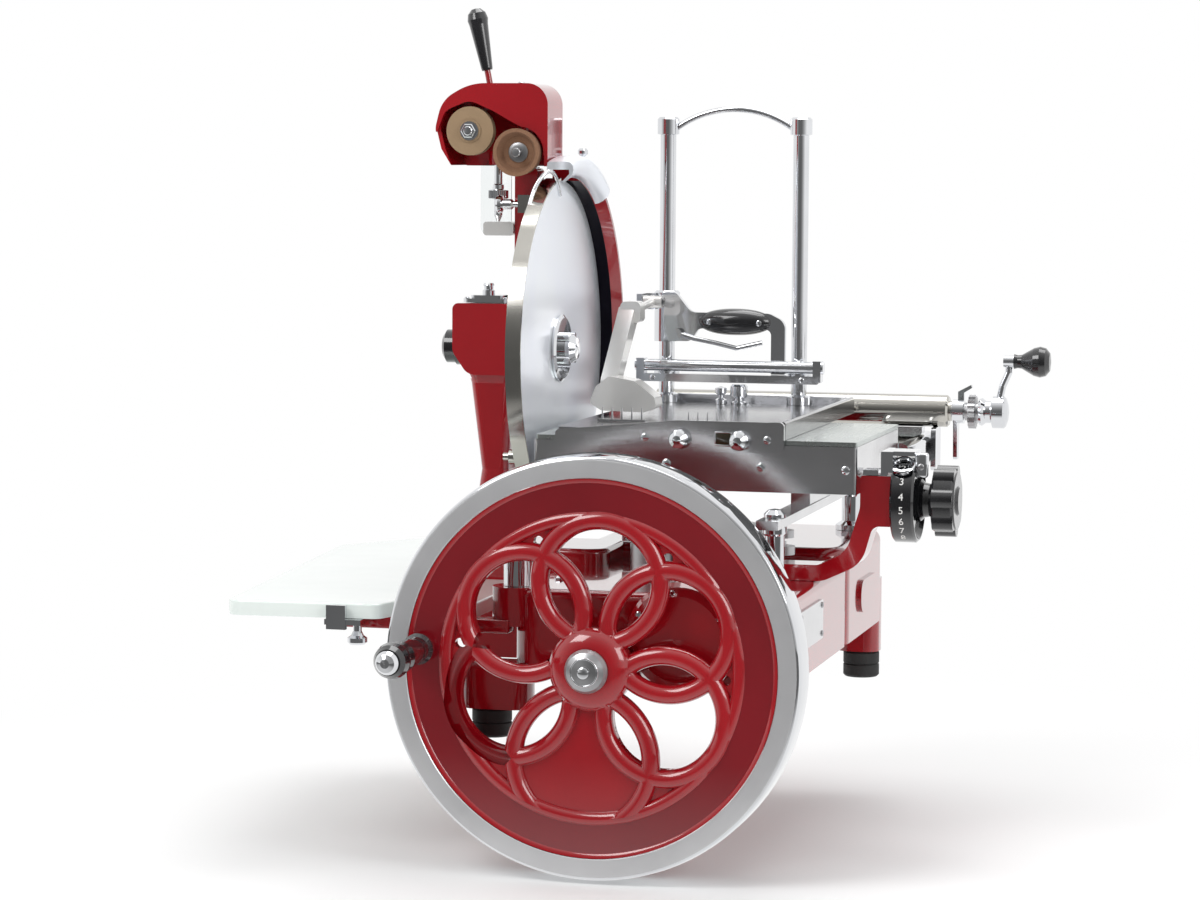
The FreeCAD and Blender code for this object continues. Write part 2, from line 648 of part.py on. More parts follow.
# ---------------------------------------------------------------- carriage drive
def make_crank_arm():
    """Upright crank shaft with its gear below the deck and the arm above it."""
    side = THROW * math.sqrt(1 - crank_cosine() ** 2)
    ahead = THROW * crank_cosine()
    pin = (WHEEL_X + side, CRANK_Y + ahead)
    gear_z = WHEEL_Z + MITRE_R
    top = CRANK_Z + ARM_T
    spindle = rod(8, (WHEEL_X, CRANK_Y, gear_z - 5), (WHEEL_X, CRANK_Y, CRANK_Z + 5))
    gear = bevel_gear(MITRE_R - 0.4, MITRE_R * 0.75 - 0.4, MITRE_R / 4,
                      (WHEEL_X, CRANK_Y, gear_z), (0, 0, -1), 20)
    hub = rod(14, (WHEEL_X, CRANK_Y, gear_z), (WHEEL_X, CRANK_Y, 108 - SEAT))
    head = rod(20, (WHEEL_X, CRANK_Y, FRONT_DECK + SEAT), (WHEEL_X, CRANK_Y, top))
    tip = rod(14, (pin[0], pin[1], CRANK_Z), (pin[0], pin[1], top))
    length = math.hypot(side, ahead)
    across = (-ahead / length, side / length)
    corners = []
    for base_x, base_y, half in ((WHEEL_X, CRANK_Y, 16), (pin[0], pin[1], 11)):
        corners.append((base_x + across[0] * half, base_y + across[1] * half))
        corners.append((base_x - across[0] * half, base_y - across[1] * half))
    order = [corners[0], corners[1], corners[3], corners[2]]
    arm = slab("xy", order, CRANK_Z, top)
    stud = rod(6, (pin[0], pin[1], CRANK_Z + 5), (pin[0], pin[1], top + PIN_RISE))
    return join([spindle, gear, hub, head, tip, arm, stud])


def crank_cosine():
    reach = PIVOT_Y - CRANK_Y
    return (THROW ** 2 + reach ** 2 - ROD_LENGTH ** 2) / (2 * THROW * reach)


def make_connecting_rod():
    side = THROW * math.sqrt(1 - crank_cosine() ** 2)
    pin = (WHEEL_X + side, CRANK_Y + THROW * crank_cosine())
    low = ROD_LOW
    high = ROD_LOW + ROD_T
    across = ((PIVOT_Y - pin[1]) / ROD_LENGTH, (pin[0] - WHEEL_X) / ROD_LENGTH)
    corners = [(WHEEL_X + 8 * across[0], PIVOT_Y + 8 * across[1]),
               (WHEEL_X - 8 * across[0], PIVOT_Y - 8 * across[1]),
               (pin[0] - 8 * across[0], pin[1] - 8 * across[1]),
               (pin[0] + 8 * across[0], pin[1] + 8 * across[1])]
    bar = slab("xy", corners, low, high)
    big_eye = rod(13, (pin[0], pin[1], low), (pin[0], pin[1], high))
    small_eye = rod(13, (WHEEL_X, PIVOT_Y, low), (WHEEL_X, PIVOT_Y, high))
    link = join([bar, big_eye, small_eye])
    link = link.cut(rod(6 + RUN, (pin[0], pin[1], 0), (pin[0], pin[1], 300)))
    return link.cut(rod(6 + RUN, (WHEEL_X, PIVOT_Y, 0), (WHEEL_X, PIVOT_Y, 300)))


# ---------------------------------------------------------------- carriage
def make_carriage_frame():
    """Hollow tray with two rod sleeves, a rail shoe and the linkage pivot."""
    tray = slab("xy", rounded(CARRIAGE_LEFT, CARRIAGE_RIGHT, CARRIAGE_FRONT,
                              CARRIAGE_BACK, 4), CARRIAGE_BOTTOM, CARRIAGE_TOP)
    hollow = box(CARRIAGE_LEFT + 6, CARRIAGE_RIGHT - 6, CARRIAGE_FRONT + 6,
                 CARRIAGE_BACK - 6, CARRIAGE_BOTTOM - 5, CARRIAGE_TOP - 6)
    tray = tray.cut(hollow)
    pieces = [tray]
    for sleeve_y in (-100, 40):
        pieces.append(rod(13, (ROD_X, sleeve_y, ROD_Z), (ROD_X, sleeve_y + 40, ROD_Z)))
        pieces.append(box(ROD_X - 8, ROD_X + 8, sleeve_y + 4, sleeve_y + 36, ROD_Z + 8,
                          CARRIAGE_TOP - 3))
    pieces.append(box(BAR_X - 9, BAR_X + 9, -60, 40, BAR_TOP + RUN, CARRIAGE_TOP - 3))
    tongue = slab("xy", rounded(WHEEL_X - 30, WHEEL_X + 30, 90, PIVOT_Y + 22, 8),
                  CARRIAGE_BOTTOM, CARRIAGE_BOTTOM + 12)
    pieces.append(tongue)
    shoulder = ROD_LOW + ROD_T + SEAT
    head = ROD_LOW - SEAT
    pivot = turned([(0, CARRIAGE_BOTTOM + 4), (10, CARRIAGE_BOTTOM + 4), (10, shoulder),
                    (6, shoulder), (6, head), (9, head), (9, head - PIVOT_HEAD_T),
                    (0, head - PIVOT_HEAD_T)], (WHEEL_X, PIVOT_Y, 0), (0, 0, 1))
    pieces.append(pivot)
    frame = join(pieces)
    return frame.cut(rod(ROD_R + RUN, (ROD_X, -140, ROD_Z), (ROD_X, 120, ROD_Z)))


def make_carriage_plate():
    return slab("xy", rounded(CARRIAGE_LEFT + 2, CARRIAGE_RIGHT, CARRIAGE_FRONT + 1,
                              CARRIAGE_BACK, 3), CARRIAGE_TOP + SEAT,
                CARRIAGE_TOP + SEAT + PLATE_T)


def make_feed_tube():
    """Tube behind the table with a slot for the nut and an end bearing."""
    tube = turned([(0, -90), (TUBE_R, -90), (TUBE_R, 208), (14, 210), (10, 210),
                   (10, 213), (0, 213)], (0, FEED_Y, FEED_Z), (1, 0, 0))
    tube = tube.cut(rod(TUBE_R - 3.5, (-86, FEED_Y, FEED_Z), (200, FEED_Y, FEED_Z)))
    tube = tube.cut(rod(SCREW_R + RUN, (190, FEED_Y, FEED_Z), (220, FEED_Y, FEED_Z)))
    slot = box(-30, 88, FEED_Y - 20, FEED_Y - 5, 261.5, 272.5)
    return tube.cut(slot)


def make_tube_brackets():
    """Two arms from the back of the carriage that hold the feed tube."""
    top = FEED_Z - TUBE_R - SEAT
    right = slab("xz", rounded(140, 194, 212, 246, 8), CARRIAGE_BACK + SEAT, FEED_Y + 10)
    right_pad = box(150, 184, FEED_Y - 10, FEED_Y + 10, 244, top)
    plate = slab("yz", rounded(FEED_Y - 16, FEED_Y + 16, 208, 251, 5), 194, 199)
    left = slab("xz", rounded(-100, -64, 220, 246, 6), CARRIAGE_BACK + SEAT, FEED_Y + 10)
    left_pad = box(-94, -70, FEED_Y - 10, FEED_Y + 10, 244, top)
    return Part.makeCompound([join([right, right_pad, plate]), join([left, left_pad])])


# ---------------------------------------------------------------- feed screw
def make_feed_screw():
    """Screw in the tube with the ratchet wheel on its outer end."""
    screw = rod(SCREW_R, (-80, FEED_Y, FEED_Z), (258, FEED_Y, FEED_Z))
    points = []
    teeth = 18
    for index in range(teeth):
        start = 2 * math.pi * index / teeth
        crest = start + 1.5 * math.pi / teeth
        points.append((FEED_Y + 15 * math.cos(start), FEED_Z + 15 * math.sin(start)))
        points.append((FEED_Y + 17 * math.cos(crest), FEED_Z + 17 * math.sin(crest)))
    ratchet = slab("yz", points, 230, 237)
    collar = rod(9, (226, FEED_Y, FEED_Z), (240, FEED_Y, FEED_Z))
    return join([screw, ratchet, collar])


def make_feed_crank():
    hole = SCREW_R + SEAT
    hub = turned([(0, 259), (hole, 259), (hole, 240 + SEAT), (13, 240 + SEAT), (14, 243),
                  (11, 247), (11, 252), (16, 254), (16, 265), (14, 267), (8, 269),
                  (0, 270)], (0, FEED_Y, FEED_Z), (1, 0, 0))
    arm = bent_rod(3.6, [(260, FEED_Y, FEED_Z + 12), (263, FEED_Y, FEED_Z + 26),
                         (269, FEED_Y, FEED_Z + 40), (269, FEED_Y, FEED_Z + 51)])
    eye = rod(6, (264, FEED_Y, FEED_Z + 51), (274, FEED_Y, FEED_Z + 51))
    pin = rod(3, (270, FEED_Y, FEED_Z + 51), (300, FEED_Y, FEED_Z + 51))
    return join([hub, arm, eye, pin])


def make_feed_knob():
    """Pear-shaped knob that turns on the pin of the feed crank."""
    knob = turned([(0, 274 + SEAT), (7.5, 274 + SEAT), (6.5, 278), (7, 282), (10, 287),
                   (14, 294), (15.5, 300), (14, 306), (9, 310), (0, 311)],
                  (0, FEED_Y, FEED_Z + 51), (1, 0, 0))
    return knob.cut(rod(3 + RUN, (270, FEED_Y, FEED_Z + 51), (300.5, FEED_Y, FEED_Z + 51)))


def make_ratchet_lever():
    """Hanging lever that works the ratchet, with a thumb piece above."""
    collar = rod(12, (214, FEED_Y, FEED_Z), (225, FEED_Y, FEED_Z))
    lever = slab("yz", [(FEED_Y - 9, FEED_Z), (FEED_Y - 6, 219, 3), (FEED_Y + 6, 219, 3),
                        (FEED_Y + 9, FEED_Z)], 215, 219)
    thumb = slab("xz", [(219, FEED_Z + 8), (225, FEED_Z + 8), (225, FEED_Z + 19),
                        (233, FEED_Z + 24), (232, FEED_Z + 27), (219, FEED_Z + 20)],
                 FEED_Y - 4, FEED_Y + 4)
    lever = join([collar, lever, thumb])
    return lever.cut(rod(SCREW_R + RUN, (200, FEED_Y, FEED_Z), (228, FEED_Y, FEED_Z)))


# ---------------------------------------------------------------- meat table
def make_meat_table():
    """Sliding table with raised rims and the lug that carries the feed nut."""
    low = CARRIAGE_TOP + 2 * SEAT + PLATE_T
    back_y = TABLE_BACK
    floor = slab("xy", [(TABLE_LEFT, -125, 3), (TABLE_RIGHT, -125, 3),
                        (TABLE_RIGHT, back_y, 4), (TABLE_LEFT, back_y, 4)],
                 low, TABLE_FLOOR)
    right_rim = slab("xz", [(TABLE_RIGHT - 7, low), (TABLE_RIGHT, low),
                            (TABLE_RIGHT, TABLE_RIM, 2), (TABLE_RIGHT - 4, TABLE_RIM, 2),
                            (TABLE_RIGHT - 9, TABLE_FLOOR - 1)], -123, back_y - 2)
    back_rim = slab("yz", [(back_y - 7, low), (back_y, low), (back_y, TABLE_RIM, 2),
                           (back_y - 4, TABLE_RIM, 2), (back_y - 9, TABLE_FLOOR - 1)],
                    TABLE_LEFT + 3, TABLE_RIGHT - 2)
    notch = rod(12 + SEAT, (COLUMN_LEFT, COLUMN_Y, TABLE_FLOOR),
                (COLUMN_LEFT, COLUMN_Y, TABLE_RIM + 5))
    notch_right = rod(12 + SEAT, (COLUMN_RIGHT, COLUMN_Y, TABLE_FLOOR),
                      (COLUMN_RIGHT, COLUMN_Y, TABLE_RIM + 5))
    lug = box(-12, 12, back_y - 4, FEED_Y - 8, low, FEED_Z + 3)
    nut = rod(11.5, (-12, FEED_Y, FEED_Z), (12, FEED_Y, FEED_Z))
    table = join([floor, right_rim, back_rim, lug, nut])
    table = table.cut(notch).cut(notch_right)
    return table.cut(rod(SCREW_R + RUN, (-20, FEED_Y, FEED_Z), (20, FEED_Y, FEED_Z)))


def make_table_apron():
    """Front plate of the table with a recessed window."""
    foot = TABLE_RIM - 28
    corners = [(TABLE_LEFT, foot, 2), (TABLE_RIGHT, foot, 8), (TABLE_RIGHT, TABLE_RIM, 4),
               (20, TABLE_RIM, 10), (TABLE_LEFT, TABLE_RIM - 11, 4)]
    plate = slab("xz", corners, -131, -125 - SEAT)
    return plate.cut(box(56, 72, -132, -128, foot + 5, foot + 16))


def apron_knobs():
    knobs = []
    for knob_x in (22, 78):
        profile = [(0, 0), (5, 0), (5, 3), (8.5, 5), (9, 8), (7.5, 12), (4, 14.5), (0, 15)]
        knobs.append(turned(profile, (knob_x, -131 - SEAT, TABLE_RIM - 17), (0, -1, 0)))
    return knobs


def spike(x, y, foot):
    """Six-sided point, 12 high."""
    wires = []
    for radius, level in ((1.3, foot), (0.4, foot + 12)):
        ring = []
        for side in range(6):
            angle = math.radians(60 * side)
            ring.append(V(x + radius * math.cos(angle), y + radius * math.sin(angle), level))
        wires.append(Part.makePolygon(ring + [ring[0]]))
    return Part.makeLoft(wires, True, True)


def make_table_spikes():
    """Two low strips with upright points that grip the meat."""
    groups = []
    for strip_y, first_x, last_x, count in ((-85, 19, 46, 4), (-50, -72, -34, 5)):
        foot = TABLE_FLOOR + SEAT
        strip = box(first_x - 4, last_x + 4, strip_y - 4, strip_y + 4, foot, foot + 2)
        points = [strip]
        for index in range(count):
            x = first_x + (last_x - first_x) * index / (count - 1)
            points.append(spike(x, strip_y, foot + 1))
        groups.append(join(points))
    return Part.makeCompound(groups)


def make_table_columns():
    columns = []
    for column_x in (COLUMN_LEFT, COLUMN_RIGHT):
        foot = TABLE_FLOOR + SEAT
        profile = [(0, foot), (12, foot), (12, foot + 8), (COLUMN_R, foot + 10),
                   (COLUMN_R, COLUMN_TOP - 18), (11, COLUMN_TOP - 17),
                   (11, COLUMN_TOP - 2), (9, COLUMN_TOP), (0, COLUMN_TOP)]
        columns.append(turned(profile, (column_x, COLUMN_Y, 0), (0, 0, 1)))
    return Part.makeCompound(columns)


def make_arch_bar():
    middle = (COLUMN_LEFT + COLUMN_RIGHT) / 2
    half = (COLUMN_RIGHT - COLUMN_LEFT) / 2
    rise = 26
    radius = (half ** 2 + rise ** 2) / (2 * rise)
    crown = COLUMN_TOP + 8
    centre_z = crown - radius
    arc = Part.makeTorus(radius, 3, V(middle, COLUMN_Y, centre_z), V(0, 1, 0))
    arc = arc.common(box(COLUMN_LEFT + 2, COLUMN_RIGHT - 2, COLUMN_Y - 5, COLUMN_Y + 5,
                         crown - 37, crown + 13))
    for column_x in (COLUMN_LEFT, COLUMN_RIGHT):
        arc = arc.cut(rod(11 + SEAT, (column_x, COLUMN_Y, crown - 67),
                          (column_x, COLUMN_Y, crown + 33)))
    return arc


def make_table_knobs():
    """Two studs on the apron and two fixing knobs at the back of the table."""
    foot = TABLE_FLOOR + SEAT
    large = turned([(0, foot), (8, foot), (8, foot + 2), (5.5, foot + 3), (5.5, foot + 6),
                    (9, foot + 8), (9, foot + 18), (7, foot + 20), (0, foot + 20)],
                   (4, 205, 0), (0, 0, 1))
    small = turned([(0, foot), (6, foot), (6, foot + 4), (3, foot + 6), (3, foot + 9),
                    (6, foot + 11), (6, foot + 16), (0, foot + 18)], (-14, 203, 0), (0, 0, 1))
    return Part.makeCompound(apron_knobs() + [large, small])


# ---------------------------------------------------------------- meat press
def make_press_bracket():
    """Sleeve on the left column, grip core and the arm down to the bars."""
    sleeve = turned([(0, 334), (13, 334), (13, 383), (11, 385), (0, 385)],
                    (COLUMN_LEFT, COLUMN_Y, 0), (0, 0, 1))
    corners = [(-72, 384, 2), (-60, 384, 8), (-44, 364, 12), (36, 364, 14), (52, 356, 12),
               (52, 303 + SEAT, 1), (38, 303 + SEAT, 1), (38, 348, 6), (-36, 348, 6),
               (-44, 335, 8), (-72, 335, 2)]
    web = slab("xz", corners, 196, 204)
    lug = box(-98, -80, 208, 222, 366, 382)
    cheek = box(-98, -92.5, 187, 222, 366, 382)
    pin = rod(3, (-98, 193, 374), (-73, 193, 374))
    bracket = join([sleeve, web, lug, cheek, pin])
    return bracket.cut(rod(COLUMN_R + RUN, (COLUMN_LEFT, COLUMN_Y, 300),
                           (COLUMN_LEFT, COLUMN_Y, 400)))


def make_press_grip():
    """Two dark scales either side of the flat grip core."""
    curve = [(0, -39), (5, -35), (10.5, -20), (13, 1), (10.5, 22), (5, 37), (0, 41)]
    body = turned(curve, (0, 200, 356), (1, 0, 0))
    return body.cut(box(-60, 60, 196 - SEAT, 204 + SEAT, 330, 380))


def make_press_bars():
    """Flat and round bars with a guide ring on each column."""
    flat = slab("xz", [(-95, 295, 2), (89, 295, 2), (89, 303, 2), (-95, 303, 2)], 182, 204)
    bar = rod(6, (-99, 190, 311), (93, 190, 311))
    left_end = box(-97, -89, 183, 197, 297, 318)
    right_end = box(83, 91, 183, 197, 297, 318)
    pieces = [flat, bar, left_end, right_end]
    holes = []
    for column_x in (COLUMN_LEFT, COLUMN_RIGHT):
        pieces.append(rod(13, (column_x, COLUMN_Y, 295), (column_x, COLUMN_Y, 312)))
        holes.append(rod(COLUMN_R + RUN, (column_x, COLUMN_Y, 280),
                         (column_x, COLUMN_Y, 330)))
    bars = join(pieces)
    for hole in holes:
        bars = bars.cut(hole)
    return bars


def make_press_trigger():
    """Wavy release lever under the grip."""
    barrel = rod(5, (-57, 188, 343), (-57, 196 - SEAT, 343))
    lever = bent_rod(2.4, [(-57, 191, 343), (-40, 192, 338), (-18, 192, 334),
                           (4, 192, 329), (30, 192, 335)])
    return join([barrel, lever])


def make_clamp_arm():
    """Swinging arm with the lobed pusher that holds the meat from the side."""
    barrel = rod(6, (-92, 193, 374), (-73, 193, 374))
    link = rod(4, (-83, 193, 374), (-83, 112, 368))
    knuckle = slab("xz", rounded(-93, -73, 357, 378, 5), 100, 120)
    bar = slab("yz", [(116, 360, 3), (104, 374, 3), (30, 304, 3), (38, 290, 3)], -95, -79)
    low = TABLE_FLOOR + 4
    lobes = [(-102, low + 8, 4), (-96, low + 24, 6), (-83, low + 34, 6),
             (-58, low + 30, 8), (-38, low + 15, 5), (-36, low + 5, 3), (-48, low, 4),
             (-90, low + 1, 4)]
    paddle = slab("xz", lobes, 16, 44)
    arm = join([barrel, link, knuckle, bar, paddle])
    return arm.cut(rod(3 + RUN, (-100, 193, 374), (-60, 193, 374)))


# ---------------------------------------------------------------- thickness dial
def make_regulator_arm():
    """Swept arm from the base up to the dial bearing block."""
    corners = [(72, FRONT_DECK + SEAT, 2), (150, FRONT_DECK + SEAT, 25), (186, 152, 30),
               (196, 187, 8), (214, 187, 2), (214, 233, 2), (184, 233, 3), (184, 203, 25),
               (172, 163, 25), (146, 150, 15), (72, 150, 3)]
    arm = slab("xz", corners, DIAL_Y - 16, DIAL_Y + 16)
    return arm.cut(rod(8 + RUN, (180, DIAL_Y, DIAL_Z), (220, DIAL_Y, DIAL_Z)))


def make_dial_drum():
    drum = turned([(0, 214 + SEAT), (DIAL_R - 2, 214 + SEAT), (DIAL_R, 216),
                   (DIAL_R, 234), (DIAL_R - 2, 236), (DIAL_R - 3, 236), (DIAL_R - 5, 232),
                   (0, 232)], (0, DIAL_Y, DIAL_Z), (1, 0, 0))
    shaft = rod(8, (187, DIAL_Y, DIAL_Z), (245, DIAL_Y, DIAL_Z))
    return join([drum, shaft])


def make_dial_knob():
    """Waisted hub and lobed hand knob."""
    hub = turned([(8 + SEAT, 232 + SEAT), (19, 232 + SEAT), (19, 238), (16, 241), (15, 246),
                  (17, 250), (18, 252), (8 + SEAT, 252)], (0, DIAL_Y, DIAL_Z), (1, 0, 0))
    disc = turned([(0, 250), (28, 250), (29, 252), (29, 268), (26, 271), (14, 271),
                   (12, 273), (0, 273)], (0, DIAL_Y, DIAL_Z), (1, 0, 0))
    pieces = [hub, disc]
    lobes = 7
    for index in range(lobes):
        angle = 2 * math.pi * index / lobes + 0.3
        y = DIAL_Y + 24 * math.cos(angle)
        z = DIAL_Z + 24 * math.sin(angle)
        pieces.append(rod(9, (251, y, z), (270, y, z)))
    return join(pieces)


def make_dial_bezel():
    """Bracket over the drum with the ring that frames the reading."""
    foot = box(186, 212, DIAL_Y - 13, DIAL_Y + 10, 233 + SEAT, 238)
    post = box(206, 212, DIAL_Y - 35, DIAL_Y + 10, 235, 257)
    roof = box(206, 236, DIAL_Y - 30, DIAL_Y + 4, 253, 257)
    cheek = box(209, 217, DIAL_Y - 35, DIAL_Y - 13, 238, 257)
    tilt = math.radians(128)
    reach = DIAL_R + 1.2
    centre = (225, DIAL_Y + reach * math.cos(tilt), DIAL_Z + reach * math.sin(tilt))
    heading = (0, math.cos(tilt), math.sin(tilt))
    ring = turned([(7, 0), (11, 0), (11, 3), (10, 4), (8, 4), (7, 3)], centre, heading)
    clear = rod(DIAL_R + 0.8, (200, DIAL_Y, DIAL_Z), (240, DIAL_Y, DIAL_Z))
    bezel = join([foot, post, roof, cheek, ring])
    block = box(186, 240, DIAL_Y - 40, DIAL_Y + 40, 180, 233 + SEAT)
    return bezel.cut(clear).cut(block)


# ---------------------------------------------------------------- receiving plate
def make_receiving_plate():
    corners = [(-364, -276, 16), (-222, -266, 10), (-214, -236, 8), (-142, -236, 8),
               (-142, -60, 8), (-217, -60, 8), (-217, 256, 16), (-347, 256, 24),
               (-406, 169, 24)]
    plate = slab("xy", corners, RECEIVER_TOP - RECEIVER_T, RECEIVER_TOP)
    return top_fillet(plate, RECEIVER_TOP, 2)


def make_plate_arm():
    """Two bars that reach out from the base under the receiving plate."""
    top = RECEIVER_TOP - RECEIVER_T - SEAT
    front = slab("yz", rounded(-238, -216, top - 12, top, 3), -330, ROD_X - 22 - SEAT)
    back = slab("yz", rounded(120, 144, top - 12, top, 3), -330, BASE_LEFT - SEAT)
    spine = box(-322, -306, -220, 124, top - 10, top - 1)
    return join([front, back, spine])


def make_plate_clip():
    """Bright angle clip in front of the plate's edge."""
    top = RECEIVER_TOP - RECEIVER_T - SEAT
    base = box(-270, -236, -276, -238 - SEAT, top - 5, top)
    lip = box(-268, -250, -277, -272, top - 9, RECEIVER_TOP - 1)
    clip = join([base, lip])
    return clip.cut(rod(3 + SEAT, (-245, -257, 80), (-245, -257, 120)))


def make_plate_thumbscrew():
    top = RECEIVER_TOP - RECEIVER_T - SEAT
    profile = [(0, 82), (7, 82), (9, 84), (9, 88), (6, 90), (4, 94), (4, top - 6),
               (3, top - 6), (3, top - 0.5), (0, top - 0.5)]
    return turned(profile, (-245, -257, 0), (0, 0, 1))


# ---------------------------------------------------------------- sharpener
def make_sharpener_post():
    """Upright post on the arm that the hood slides up on."""
    foot = ARM_TOP + SEAT
    top = ARM_TOP + 66
    profile = [(0, foot), (8, foot), (8, foot + 1), (POST_R, foot + 1), (POST_R, top),
               (0, top)]
    return turned(profile, (POST_X, POST_Y, 0), (0, 0, 1))


def make_stop_block():
    """Block on the arm under the tip of the adjusting screw."""
    return slab("xz", rounded(-199, -169 - SEAT, STOP_TOP - 13, STOP_TOP, 3), -16, 4)


def make_sharpener_hood():
    """Hollow hood with an S-shaped front opening and the two stone pins."""
    low = ARM_TOP
    shape = [(-226, low + 2, 3), (-236, low + 18, 6), (HEAD_LEFT, low + 37, 8),
             (-234, low + 64, 16), (-206, HEAD_TOP, 22), (-142, HEAD_TOP, 12),
             (HEAD_RIGHT, low + 68, 8), (HEAD_RIGHT, low + 2, 1)]
    body = slab("xz", shape, HEAD_FRONT, HEAD_BACK)
    inner = [(-222, low - 8), (-232, low + 18, 4), (HEAD_LEFT + 4, low + 38, 6),
             (-231, low + 61, 13), (-205, HEAD_TOP - 4, 19), (-143, HEAD_TOP - 4, 9),
             (HEAD_RIGHT - 4, low + 66, 5), (HEAD_RIGHT - 4, low - 8)]
    body = body.cut(slab("xz", inner, HEAD_FRONT + 4, HEAD_BACK - 4))
    opening = [(-250, low - 18), (-250, low + 33), (-239, low + 33, 5), (-231, low + 54, 14),
               (-207, low + 64, 18), (-184, low + 54, 18), (-166, low + 44, 20),
               (-146, low + 34, 12), (-133.5, low + 12, 6), (-133.5, low - 18)]
    body = body.cut(slab("xz", opening, HEAD_FRONT - 5, HEAD_FRONT + 5))
    body = body.cut(rod(24.3, (CUP_X, HEAD_FRONT - 5, CUP_Z), (CUP_X, HEAD_FRONT + 4.1, CUP_Z)))
    slot = box(-207, -181, -13, -3, HEAD_TOP - 8, HEAD_TOP + 4)
    body = body.cut(slot)
    socket = rod(9, (POST_X, POST_Y, low + 32), (POST_X, POST_Y, HEAD_TOP - 3))
    web = box(POST_X - 3, POST_X + 3, POST_Y, HEAD_BACK - 2, low + 32, low + 52)
    flat_pin = rod(4, (-207, HEAD_BACK - 2, FLAT_Z), (-207, -42, FLAT_Z))
    cup_pin = rod(4, (CUP_X, HEAD_BACK - 2, CUP_Z), (CUP_X, -47, CUP_Z))
    screw_boss = rod(9, (-187, -6, low + 3), (-187, -6, low + 16))
    screw_web = box(-192, -182, -6, HEAD_BACK - 2, low + 3, low + 11)
    body = join([body, socket, web, flat_pin, cup_pin, screw_boss, screw_web])
    for lug_y in (-18, -2):
        lug = box(-199, -187, lug_y, lug_y + 3.5, LEVER_Z - 6, HEAD_TOP - 3)
        body = body.fuse(lug)
    body = body.cut(rod(2.05, (-193, -20, LEVER_Z), (-193, 4, LEVER_Z)))
    body = body.cut(rod(4 + RUN, (-187, -6, low - 18), (-187, -6, low + 22)))
    return body.cut(rod(POST_R + RUN, (POST_X, POST_Y, low - 8), (POST_X, POST_Y, low + 67)))


def make_flat_stone():
    stone = turned([(4 + RUN, -36), (11, -36), (11, -35), (23, -35), (23, -25),
                    (4 + RUN, -25)], (-207, 0, FLAT_Z), (0, 1, 0))
    return stone


def make_cup_stone():
    return turned([(4 + RUN, -37), (15, -37), (19, -46), (22.5, -46), (21, -29), (17, -26),
                   (4 + RUN, -26)], (CUP_X, 0, CUP_Z), (0, 1, 0))


def make_sharpener_lever():
    """Red stem on a cross pin in the hood."""
    barrel = rod(5, (-193, -14, LEVER_Z), (-193, -2.5, LEVER_Z))
    pin = rod(2, (-193, -17, LEVER_Z), (-193, 1, LEVER_Z))
    stem = rod(3, (-193, -8, LEVER_Z), (-200, -8, LEVER_Z + 35))
    return join([barrel, pin, stem])


def make_lever_grip():
    grip = turned([(3 + SEAT, 0), (5, 0), (5.5, 2), (9, 44), (10, 49), (8.5, 55), (4.5, 59),
                   (0, 60), (0, 14), (3 + SEAT, 14)], (-197.7, -8, LEVER_Z + 23.5),
                  (-7, 0, 35))
    return grip


def make_adjusting_screw():
    foot = STOP_TOP
    profile = [(0, foot + SEAT), (1.5, foot + SEAT), (4, foot + 6), (4, foot + 21),
               (9, foot + 22), (9, foot + 30), (5.5, foot + 31), (5.5, foot + 35),
               (4, foot + 36), (4, foot + 70), (0, foot + 71)]
    return turned(profile, (-187, -6, 0), (0, 0, 1))


# ---------------------------------------------------------------- all pieces
NODES = {
    "base_casting": make_base_casting,
    "rubber_feet": make_rubber_feet,
    "side_cover_plate": make_side_cover_plate,
    "drive_cover": make_drive_cover,
    "carriage_rails": make_carriage_rails,
    "rail_posts": make_rail_posts,
    "blade_column": make_blade_column,
    "gearbox_top_cover": make_gearbox_top_cover,
    "shaft_end_cap": make_shaft_end_cap,
    "cross_shaft": make_cross_shaft,
    "upright_shaft": make_upright_shaft,
    "blade_shaft": make_blade_shaft,
    "blade": make_blade,
    "blade_hub_nut": make_blade_hub_nut,
    "blade_guard": make_blade_guard,
    "guard_top_cap": make_guard_top_cap,
    "guard_knob": make_guard_knob,
    "slice_deflector": make_slice_deflector,
    "deflector_screw": make_deflector_screw,
    "flywheel": make_flywheel,
    "flywheel_shaft": make_flywheel_shaft,
    "handle_spindle": make_handle_spindle,
    "handle_grip": make_handle_grip,
    "crank_arm": make_crank_arm,
    "connecting_rod": make_connecting_rod,
    "carriage_frame": make_carriage_frame,
    "carriage_plate": make_carriage_plate,
    "feed_tube": make_feed_tube,
    "tube_brackets": make_tube_brackets,
    "feed_screw": make_feed_screw,
    "feed_crank": make_feed_crank,
    "feed_knob": make_feed_knob,
    "ratchet_lever": make_ratchet_lever,
    "meat_table": make_meat_table,
    "table_apron": make_table_apron,
    "table_spikes": make_table_spikes,
    "table_columns": make_table_columns,
    "arch_bar": make_arch_bar,
    "table_knobs": make_table_knobs,
    "press_bracket": make_press_bracket,
    "press_grip": make_press_grip,
    "press_bars": make_press_bars,
    "press_trigger": make_press_trigger,
    "clamp_arm": make_clamp_arm,
    "regulator_arm": make_regulator_arm,
    "dial_drum": make_dial_drum,
    "dial_knob": make_dial_knob,
    "dial_bezel": make_dial_bezel,
    "receiving_plate": make_receiving_plate,
    "plate_arm": make_plate_arm,
    "plate_clip": make_plate_clip,
    "plate_thumbscrew": make_plate_thumbscrew,
    "sharpener_post": make_sharpener_post,
    "stop_block": make_stop_block,
    "sharpener_hood": make_sharpener_hood,
    "flat_stone": make_flat_stone,
    "cup_stone": make_cup_stone,
    "sharpener_lever": make_sharpener_lever,
    "lever_grip": make_lever_grip,
    "adjusting_screw": make_adjusting_screw,
}

for name, make in NODES.items():
    save(make(), name)
